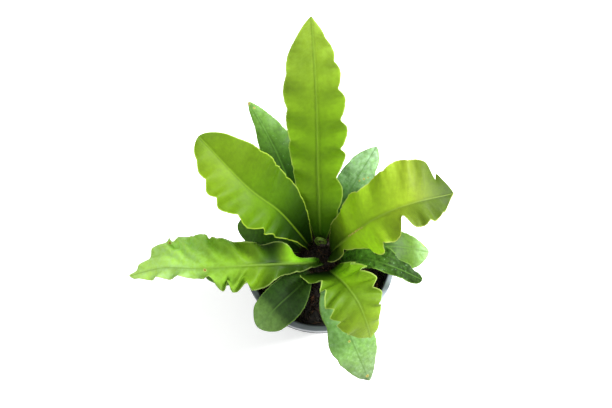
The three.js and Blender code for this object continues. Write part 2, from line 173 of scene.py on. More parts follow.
def stored(tree, name, output="Fac"):
    node = tree.nodes.new("ShaderNodeAttribute")
    node.attribute_name = name
    return node.outputs[output]


def brighten(colour, factor):
    node = nodeFor("VectorMath", colour)
    node.operation = "SCALE"
    wire(node.inputs[0], colour)
    wire(node.inputs["Scale"], factor)
    return node.outputs[0]


def stretched(vector, x, y, z):
    node = nodeFor("VectorMath", vector)
    node.operation = "MULTIPLY"
    wire(node.inputs[0], vector)
    node.inputs[1].default_value = (x, y, z)
    return node.outputs[0]


def newGroup(name, inputs, outputs):
    tree = bpy.data.node_groups.new(name, "ShaderNodeTree")
    for label, value in inputs.items():
        kind = "NodeSocketFloat" if isinstance(value, float) else "NodeSocketColor"
        tree.interface.new_socket(name=label, in_out="INPUT", socket_type=kind).default_value = value
    for label, kind in outputs.items():
        tree.interface.new_socket(name=label, in_out="OUTPUT", socket_type="NodeSocket" + kind)
    return tree, tree.nodes.new("NodeGroupInput").outputs, tree.nodes.new("NodeGroupOutput").inputs


def newMaterial(name, group, values, shader, bump):
    # a Principled material fed by a group's Color, Roughness and Height
    material = bpy.data.materials.new(name)
    material.use_nodes = True
    tree = material.node_tree
    principled = tree.nodes["Principled BSDF"]
    surface = tree.nodes.new("ShaderNodeGroup")
    surface.node_tree = group
    for label, value in values.items():
        surface.inputs[label].default_value = value
    for label, value in shader.items():
        principled.inputs[label].default_value = value
    relief = tree.nodes.new("ShaderNodeBump")
    relief.inputs["Distance"].default_value = bump * millimetre
    tree.links.new(surface.outputs["Height"], relief.inputs["Height"])
    tree.links.new(surface.outputs["Color"], principled.inputs["Base Color"])
    tree.links.new(surface.outputs["Roughness"], principled.inputs["Roughness"])
    tree.links.new(relief.outputs["Normal"], principled.inputs["Normal"])
    return material, tree, principled, surface, relief


def objectPlace(tree):
    return tree.nodes.new("ShaderNodeTexCoord").outputs["Object"]


# Pot

pot = {
    "height": 120.0, "rimRadius": 70.0, "lipWidth": 4.2, "skirtHeight": 14.0, "skirtWall": 1.4,
    "footRadius": 48.0, "wall": 1.6, "shoulderHeight": 84.0, "shoulderStep": 1.2,
    "drainHoles": 8, "drainRadius": 4.5, "drainRing": 36.0, "segments": 176,
    "plastic": (0.014, 0.016, 0.018, 1), "dust": (0.2, 0.19, 0.17, 1), "mud": (0.05, 0.034, 0.022, 1),
    # the first colour on the next line is a painted highlight for the lip's outside
    "lipHighlight": (0.46, 0.53, 0.59, 1), "dustiness": 0.14, "roughness": 0.36,
}


def wallAt(z):
    return pot["footRadius"] + (pot["rimRadius"] - pot["lipWidth"] - pot["footRadius"]) * z / pot["height"]


def plasticGroup():
    tree, given, made = newGroup(
        "scuffedPlastic",
        {"Plastic": pot["plastic"], "Dust": pot["dust"], "Mud": pot["mud"], "Lip Highlight": pot["lipHighlight"],
         "Dustiness": pot["dustiness"], "Roughness": pot["roughness"]},
        {"Color": "Color", "Roughness": "Float", "Height": "Float"})
    place = objectPlace(tree)
    split = tree.nodes.new("ShaderNodeSeparateXYZ")
    tree.links.new(place, split.inputs[0])
    cloud = mottle(place, 34.0, 4.0)
    streak = mottle(stretched(place, 1, 1, 0.12), 210.0, 3.0)
    scuff = mottle(stretched(place, 0.25, 0.25, 1.6), 320.0, 2.0)
    pits = mottle(place, 1500.0, 2.0)
    dusty = times(between(cloud, 0.42, 0.75), between(streak, 0.35, 0.7, 0.35, 1.0))
    dusty = times(dusty, given["Dustiness"])
    splash = times(between(mottle(place, 260.0, 3.0), 0.6, 0.7),
                   between(split.outputs["Z"], 0.005, 0.05, 0.7, 0.12))
    colour = blend(dusty, given["Plastic"], given["Dust"])
    colour = blend(splash, colour, given["Mud"])
    # painted highlight: the lip's outside is painted a pale bluish grey where the key light catches it, most
    # of all on the front right
    x, y, z = split.outputs
    side = minus(times(x, 0.89), times(y, 0.45))
    outside = plus(times(x, x), times(y, y))
    lip = times(between(outside, 0.00415, 0.0044), between(z, 0.1125, 0.1175, 0.25, 1.0))
    lip = times(lip, between(z, 0.1055, 0.1075))
    lipHighlight = maths("POWER", between(side, -0.021, 0.07), 3.0)
    lipHighlight = times(lip, plus(times(lipHighlight, 0.86), 0.17))
    colour = blend(lipHighlight, colour, given["Lip Highlight"])
    scratch = between(scuff, 0.68, 0.74, 0.0, 0.35)
    colour = blend(scratch, colour, given["Dust"])
    wire(made["Color"], colour)
    rough = plus(given["Roughness"], times(dusty, 0.5))
    rough = plus(rough, times(minus(streak, 0.5), 0.16))
    wire(made["Roughness"], rough)
    relief = plus(times(pits, 0.5), times(streak, 0.5))
    wire(made["Height"], minus(relief, times(scratch, 0.8)))
    return tree


def makePot():
    plastic = newMaterial("satinPotPlastic", plasticGroup(), {}, {"Specular IOR Level": 0.34}, 0.05)[0]
    h, rim, wall, shoulder = pot["height"], pot["rimRadius"], pot["wall"], pot["shoulderHeight"]
    skirt, foot, step = h - pot["skirtHeight"], pot["footRadius"], pot["shoulderStep"]
    # corners as radius, height and fillet, from the middle of the underside to the middle of the inner floor
    underside = [
        (0, 0.5, 0), (2.5, 0.5, 0.3), (3.5, 1.1, 0.4), (8.5, 1.1, 0.4), (9.5, 0, 0.4), (30, 0, 0.3),
        (30.8, 0.6, 0.3), (41.2, 0.6, 0.3), (42, 0, 0.3), (foot - 1, 0, 0.8),
    ]
    outside = [
        (foot, 1.5, 0.8), (wallAt(shoulder) - step, shoulder - 2, 1.2), (wallAt(shoulder), shoulder, 1.0),
        (wallAt(h - wall), h - wall, 0.5), (rim - pot["skirtWall"] - 0.3, h - wall, 0.5),
        (rim - pot["skirtWall"] - 0.8, skirt, 0.3), (rim - 0.6, skirt, 0.5), (rim - 0.4, skirt + 1.6, 0.6),
        (rim - 0.8, skirt + 2.2, 0.6), (rim - 0.2, h - 3.4, 1.0), (rim, h - 0.6, 1.4), (rim - 1.2, h, 1.4),
    ]
    inside = [
        (rim - pot["lipWidth"], h, 1.2), (wallAt(h) - wall, h - 1, 1.2),
        (wallAt(shoulder) - wall, shoulder + 1, 0.8), (wallAt(shoulder) - step - wall, shoulder - 1, 0.8),
        (foot - wall, wall + 0.4, 0.8), (0, wall, 0),
    ]
    points, faces = turnedBody(rounded(underside + outside + inside), pot["segments"])
    body = addPiece("nurseryPot", points, faces, plastic, "pot", "pot_plastic")
    drill = bpy.data.meshes.new("drainHoleCutter")
    allPoints, allFaces = [], []
    for i in range(pot["drainHoles"]):
        turn = 2 * math.pi * i / pot["drainHoles"]
        plug, sides = turnedBody([(0, -2), (pot["drainRadius"], -2), (pot["drainRadius"], 5), (0, 5)], 28)
        sides = [[corner + len(allPoints) for corner in face] for face in sides]
        plug = plug + [pot["drainRing"] * math.cos(turn), pot["drainRing"] * math.sin(turn), 0]
        allPoints += plug.tolist()
        allFaces += sides
    drill.from_pydata((np.array(allPoints) * millimetre).tolist(), [], allFaces)
    cutter = bpy.data.objects.new("drainHoleCutter", drill)
    bpy.context.scene.collection.objects.link(cutter)
    cut = body.modifiers.new("drainHoles", "BOOLEAN")
    cut.object, cut.operation, cut.solver = cutter, "DIFFERENCE", "EXACT"
    bpy.context.view_layer.update()
    drilled = bpy.data.meshes.new_from_object(body.evaluated_get(bpy.context.evaluated_depsgraph_get()))
    body.modifiers.clear()
    body.data = drilled
    body.data.set_sharp_from_angle(angle=math.radians(50))
    bpy.data.objects.remove(cutter)


makePot()
print("pot made")


# Soil

soil = {
    "level": 106.0, "bottom": 2.4, "bottomRadius": 44.0, "bump": 1.1, "clearance": 0.45,
    "rings": 60, "segments": 200,
    "belowStep": 80.0, "belowStepGap": 3.3, "aboveStep": 87.0, "aboveStepGap": 2.1,
    "crumbs": 2300, "chips": 330, "fibres": 150, "seed": 11,
    "dark": (0.011, 0.0085, 0.007, 1), "brown": (0.045, 0.026, 0.015, 1), "rust": (0.16, 0.06, 0.025, 1),
}
crown = {
    "x": 2.0, "y": 3.0, "radius": 18.5, "bottom": 90.0, "top": 122.0, "bump": 0.7, "segments": 96,
    "scales": 760, "footScales": 26, "seed": 5,
    "dark": (0.012, 0.009, 0.006, 1), "brown": (0.06, 0.034, 0.018, 1), "rust": (0.14, 0.07, 0.03, 1),
}


def crownHeight(distance):
    # the dome's height at a distance from the crown's middle
    share = np.clip(np.asarray(distance, float) / crown["radius"], 0, 1)
    places = [0, 0.2, 0.45, 0.72, 0.9, 0.98, 1]
    heights = [1, 1, 0.95, 0.85, 0.72, 0.6, 0.5]
    return crown["bottom"] + (crown["top"] - crown["bottom"]) * np.interp(share, places, heights)


def soilHeight(x, y):
    rough = np.sin(0.31 * x + 1.7) * np.cos(0.27 * y) + 0.7 * np.sin(0.83 * x - 0.61 * y)
    edge = wallAt(soil["level"]) - pot["wall"] - soil["clearance"]
    away = np.clip((edge - np.hypot(x, y)) / 5, 0, 1)
    heap = np.exp(-((np.hypot(x - crown["x"], y - crown["y"]) - crown["radius"]) / 5) ** 2)
    return soil["level"] + soil["bump"] * 0.6 * rough * away + 1.4 * heap - 1.3 * (1 - away)


def groundGroup():
    # crumbled matter: dark ground colour, browner lumps and rust-coloured bits
    tree, given, made = newGroup(
        "crumbledMatter",
        {"Dark": soil["dark"], "Brown": soil["brown"], "Rust": soil["rust"],
         "Brownness": 0.5, "Grain": 500.0, "Roughness": 0.85},
        {"Color": "Color", "Roughness": "Float", "Height": "Float"})
    place = objectPlace(tree)
    kind = stored(tree, "bitKind")
    coarse = mottle(place, given["Grain"], 5.0, 0.6)
    fine = mottle(place, times(given["Grain"], 3.4), 3.0)
    patch = mottle(place, times(given["Grain"], 0.12), 3.0)
    brownish = times(between(coarse, 0.4, 0.72), given["Brownness"])
    brownish = times(brownish, between(patch, 0.3, 0.65, 0.4, 1.2))
    colour = blend(brownish, given["Dark"], given["Brown"])
    colour = blend(between(kind, 0.3, 0.6, 0.0, 0.7), colour, given["Brown"])
    colour = blend(between(kind, 0.7, 1.0, 0.0, 0.9), colour, given["Rust"])
    colour = brighten(colour, between(fine, 0.3, 0.7, 0.55, 1.5))
    wire(made["Color"], colour)
    wet = between(patch, 0.35, 0.7, -0.22, 0.08)
    wire(made["Roughness"], plus(given["Roughness"], wet))
    wire(made["Height"], plus(coarse, times(fine, 0.4)))
    return tree


lumpPoints = 12


def lumps(draw, count, sizes, squash):
    # irregular pebbles with the corners and faces of an icosahedron: points, faces and each lump's size
    g = (1 + math.sqrt(5)) / 2
    ball = np.array([[-1, g, 0], [1, g, 0], [-1, -g, 0], [1, -g, 0], [0, -1, g], [0, 1, g],
                     [0, -1, -g], [0, 1, -g], [g, 0, -1], [g, 0, 1], [-g, 0, -1], [-g, 0, 1]])
    ball = ball / math.hypot(1, g)
    sides = np.array([[0, 11, 5], [0, 5, 1], [0, 1, 7], [0, 7, 10], [0, 10, 11], [1, 5, 9], [5, 11, 4],
                      [11, 10, 2], [10, 7, 6], [7, 1, 8], [3, 9, 4], [3, 4, 2], [3, 2, 6], [3, 6, 8],
                      [3, 8, 9], [4, 9, 5], [2, 4, 11], [6, 2, 10], [8, 6, 7], [9, 8, 1]])
    size = draw.uniform(*sizes, count)
    shape = ball[None] * draw.uniform(0.72, 1.22, (count, lumpPoints, 1)) * size[:, None, None] / 2
    shape = shape * (np.array(squash)[None, None] * draw.uniform(0.8, 1.2, (count, 1, 3)))
    turn = np.linalg.qr(draw.normal(size=(count, 3, 3)))[0]
    turn *= np.sign(np.linalg.det(turn))[:, None, None]
    points = np.einsum("nij,nkj->nki", turn, shape)
    faces = (sides[None] + lumpPoints * np.arange(count)[:, None, None]).reshape(-1, 3)
    return points, faces, size


def strands(paths, radii, sides=5):
    # thin closed tubes along paths of equal length: points and faces
    points, faces = [], []
    for path, radius in zip(paths, radii):
        path = np.asarray(path)
        forward = unit(np.gradient(path, axis=0))
        side = unit(np.cross(forward, [0.31, 0.17, 0.93]))
        up = np.cross(side, forward)
        turn = np.linspace(0, 2 * math.pi, sides, endpoint=False)
        thick = radius * np.sqrt(np.clip(1 - np.linspace(-1, 1, len(path)) ** 4, 0.04, 1))
        ring = side[:, None] * np.cos(turn)[None, :, None] + up[:, None] * np.sin(turn)[None, :, None]
        start = len(points)
        points += (path[:, None] + ring * thick[:, None, None]).reshape(-1, 3).tolist()
        faces += [face[::-1] for face in gridFaces(len(path), sides, start, wrap=True)]
        last = start + (len(path) - 1) * sides
        faces.append(list(range(start, start + sides)))
        faces.append(list(range(last, last + sides))[::-1])
    return points, faces


def makeSoil(look):
    radius = wallAt(soil["level"]) - pot["wall"] - soil["clearance"]
    rings = [0] + list(np.linspace(0.02, 1, soil["rings"]) * radius)
    profile = [(0, soil["bottom"]), (soil["bottomRadius"], soil["bottom"])]
    for height, gap in (("belowStep", "belowStepGap"), ("aboveStep", "aboveStepGap")):
        profile.append((wallAt(soil[height]) - soil[gap], soil[height]))
    profile += [(r, soil["level"]) for r in rings[::-1]]
    points, faces = turnedBody(profile, soil["segments"])
    top = points[:, 2] > soil["level"] - 1
    points[top, 2] = soilHeight(points[top, 0], points[top, 1])
    inner = top & (np.hypot(points[:, 0], points[:, 1]) < radius - 1)
    points[inner, 2] += 1.3 * roughness3d(points[inner], 7.0, soil["seed"], 5)
    addPiece("pottingSoil", points, faces, look, "soil", "potting_soil", bitKind=np.zeros(len(points)))

    draw = np.random.default_rng(soil["seed"])
    count = soil["crumbs"] + soil["chips"]
    reach = np.sqrt(draw.uniform(0, 1, 3 * count)) * (radius - 1.6)
    turn = draw.uniform(0, 2 * math.pi, 3 * count)
    spots = np.stack([reach * np.cos(turn), reach * np.sin(turn)], -1)
    clear = np.hypot(spots[:, 0] - crown["x"], spots[:, 1] - crown["y"]) > crown["radius"] - 1
    spots = spots[clear][:count]
    crumbs, crumbFaces, crumbSize = lumps(draw, soil["crumbs"], (0.9, 3.1), (1, 1, 0.85))
    chips, chipFaces, chipSize = lumps(draw, soil["chips"], (2.2, 5.8), (1.5, 0.7, 0.28))
    bits = np.concatenate([crumbs, chips])
    size = np.concatenate([crumbSize, chipSize * 0.45])
    ground2d = soilHeight(spots[:, 0], spots[:, 1]) + size * draw.uniform(-0.1, 0.35, count)
    bits += np.concatenate([spots, ground2d[:, None]], 1)[:, None]
    kinds = np.concatenate([draw.uniform(0, 0.55, soil["crumbs"]), draw.uniform(0.2, 1, soil["chips"])])
    faces = np.concatenate([crumbFaces, chipFaces + lumpPoints * soil["crumbs"]]).tolist()
    bits = bits.reshape(-1, 3)
    kinds = np.repeat(kinds, lumpPoints)
    addPiece("soilCrumbs", bits, faces, look, "soil", "potting_soil", bitKind=kinds)

    paths, radii = [], []
    for spot in spots[draw.permutation(count)[:soil["fibres"]]]:
        length, heading, bow = draw.uniform(4, 13), draw.uniform(0, 2 * math.pi), draw.uniform(-0.8, 0.8)
        s = np.linspace(-0.5, 0.5, 9)
        angle = heading + bow * s
        path = np.stack([spot[0] + length * s * np.cos(angle), spot[1] + length * s * np.sin(angle)], -1)
        keep = np.minimum(1, (radius - 1.2) / np.maximum(np.hypot(path[:, 0], path[:, 1]), 1e-6))
        path *= keep[:, None]
        rise = soilHeight(path[:, 0], path[:, 1]) + 0.7 + draw.uniform(0, 1.2) * np.cos(math.pi * s)
        paths.append(np.concatenate([path, rise[:, None]], 1))
        radii.append(draw.uniform(0.14, 0.34))
    points, faces = strands(paths, radii)
    addPiece("soilFibres", points, faces, look, "soil", "potting_soil", bitKind=np.full(len(points), 0.82))


def crumbledLook(name, piece, brownness, grain, roughness, shader, bump):
    colours = {label.title(): piece[label] for label in ("dark", "brown", "rust")}
    numbers = {"Brownness": brownness, "Grain": grain, "Roughness": roughness}
    return newMaterial(name, ground, colours | numbers, shader, bump)[0]


ground = groundGroup()
makeSoil(crumbledLook("pottingMix", soil, 0.55, 420.0, 0.86, {"Specular IOR Level": 0.35}, 0.35))
print("soil made")


# Crown

scalePoints = 20


def scales(draw, roots, directions, outward, lengths, widths):
    # thin pointed closed scales, one for each root, bowed outward: points and faces
    stations = np.array([0, 0.22, 0.5, 0.78, 1.0])
    spread = np.array([0.35, 0.9, 1.0, 0.6, 0.06])
    count = len(roots)
    length = draw.uniform(*lengths, count)[:, None]
    width = draw.uniform(*widths, count)[:, None]
    side = unit(np.cross(directions, outward))
    bow = draw.uniform(0.05, 0.32, (count, 1))
    rows = []
    for s, w in zip(stations, spread):
        middle = roots + directions * length * s + outward * (length * bow * (s - s * s) * 1.6 + 0.12)
        thick = 0.11 * w
        rows += [middle + side * width * w / 2, middle + outward * thick,
                 middle - side * width * w / 2, middle - outward * thick]
    points = np.stack(rows, 1)
    pattern = [face[::-1] for face in gridFaces(len(stations), 4, wrap=True)]
    pattern += [[0, 1, 2, 3], [19, 18, 17, 16]]
    faces = (np.array(pattern)[None] + scalePoints * np.arange(count)[:, None, None]).reshape(-1, 4)
    return points.reshape(-1, 3), faces.tolist()


def makeCrown(look):
    steps = np.linspace(0.02, 1, 34)
    dome = [(crown["radius"] * s, float(crownHeight(crown["radius"] * s))) for s in steps]
    side = [(crown["radius"] * 0.93, 98.0), (crown["radius"] * 0.72, crown["bottom"])]
    profile = [(0, crown["bottom"])] + side[::-1] + dome[::-1] + [(0, crown["top"])]
    points, faces = turnedBody(profile, crown["segments"])
    lumpy = roughness3d(points, 4.0, crown["seed"], 4)[:, None]
    away = unit(points - [0, 0, 96])
    exposed = np.clip((points[:, 2] - 100) / 6, 0, 1)[:, None]
    points = points + away * lumpy * 0.9 * exposed + [crown["x"], crown["y"], 0]
    kinds = np.clip(0.12 + 0.2 * lumpy[:, 0], 0, 1)
    addPiece("crownDome", points, faces, look, "crown", "crown_scales", bitKind=kinds)

    draw = np.random.default_rng(crown["seed"])
    count = crown["scales"]
    reach = crown["radius"] * np.sqrt(draw.uniform(0.01, 0.98, count))
    turn = draw.uniform(0, 2 * math.pi, count)
    radial = np.stack([np.cos(turn), np.sin(turn), np.zeros(count)], -1)
    slope = (crownHeight(reach + 0.3) - crownHeight(reach - 0.3)) / 0.6
    outward = unit(radial * -slope[:, None] + [0, 0, 1])
    roots = radial * reach[:, None] + [crown["x"], crown["y"], 0]
    roots[:, 2] += crownHeight(reach) - 0.5
    lean = -radial * 0.6 + [0, 0, 1.0] + draw.normal(size=(count, 3)) * 0.55
    lean -= outward * (np.sum(lean * outward, 1) - draw.uniform(0.25, 0.8, count))[:, None]
    lean = unit(lean)
    points, faces = scales(draw, roots, lean, outward, (3.2, 6.2), (0.6, 1.2))
    kinds = np.repeat(draw.uniform(0.0, 1.0, count) ** 2, scalePoints)
    addPiece("crownScales", points, faces, look, "crown", "crown_scales", bitKind=kinds)


crownLook = crumbledLook("crownScaleLook", crown, 0.5, 700.0, 0.72, {"Specular IOR Level": 0.4}, 0.15)
makeCrown(crownLook)
print("crown made")


# Fronds

lightBlade = {
    "rows": 156, "capRows": 16, "columns": 38, "thickness": 0.6, "ribWidth": 1.25, "ribRise": 0.8,
    "ribDrop": 1.5, "raggedness": 0.3, "crinkle": 0.5, "pleat": 0.05, "pleatSpacing": 3.4,
    "slot": "frond_light",
    "foot": (0.03, 0.09, 0.003, 1), "middle": (0.142, 0.27, 0.006, 1), "tip": (0.25, 0.37, 0.022, 1),
    "rib": (0.24, 0.4, 0.04, 1), "margin": (0.45, 0.6, 0.12, 1), "under": (0.25, 0.4, 0.07, 1),
    "glow": 0.4, "roughness": 0.5, "coat": 0.02, "specular": 0.15, "mottle": 0.12,
}
darkBlade = {
    "rows": 100, "capRows": 18, "columns": 26, "thickness": 0.6, "ribWidth": 1.1, "ribRise": 0.6,
    "ribDrop": 1.4, "raggedness": 0.25, "crinkle": 0.45, "pleat": 0.05, "pleatSpacing": 3.0,
    "slot": "frond_dark",
    "foot": (0.014, 0.042, 0.0045, 1), "middle": (0.037, 0.098, 0.01, 1), "tip": (0.079, 0.155, 0.022, 1),
    "rib": (0.1, 0.23, 0.03, 1), "margin": (0.18, 0.33, 0.05, 1), "under": (0.09, 0.2, 0.035, 1),
    "glow": 0.25, "roughness": 0.46, "coat": 0.03, "specular": 0.17, "mottle": 0.5,
}
veinLean, veinSpacing = 0.42, 1.15
leafColours = ("foot", "middle", "tip", "rib", "margin", "under")
barkBrown = (0.05, 0.03, 0.016, 1)
scorchBrown = (0.24, 0.12, 0.035, 1)
scorchYellow = (0.62, 0.6, 0.16, 1)
# pale whitish green for the white specks and for the bloom, which is partly painted sheen
speckAndSheenWhite = (0.48, 0.7, 0.48, 1)
glowTint = (1.35, 1.25, 0.5, 1)


def sides(left, right=None):
    # a value for each half of a blade, as seen growing away from you; one list serves both
    return {"left": left, "right": left if right is None else right}
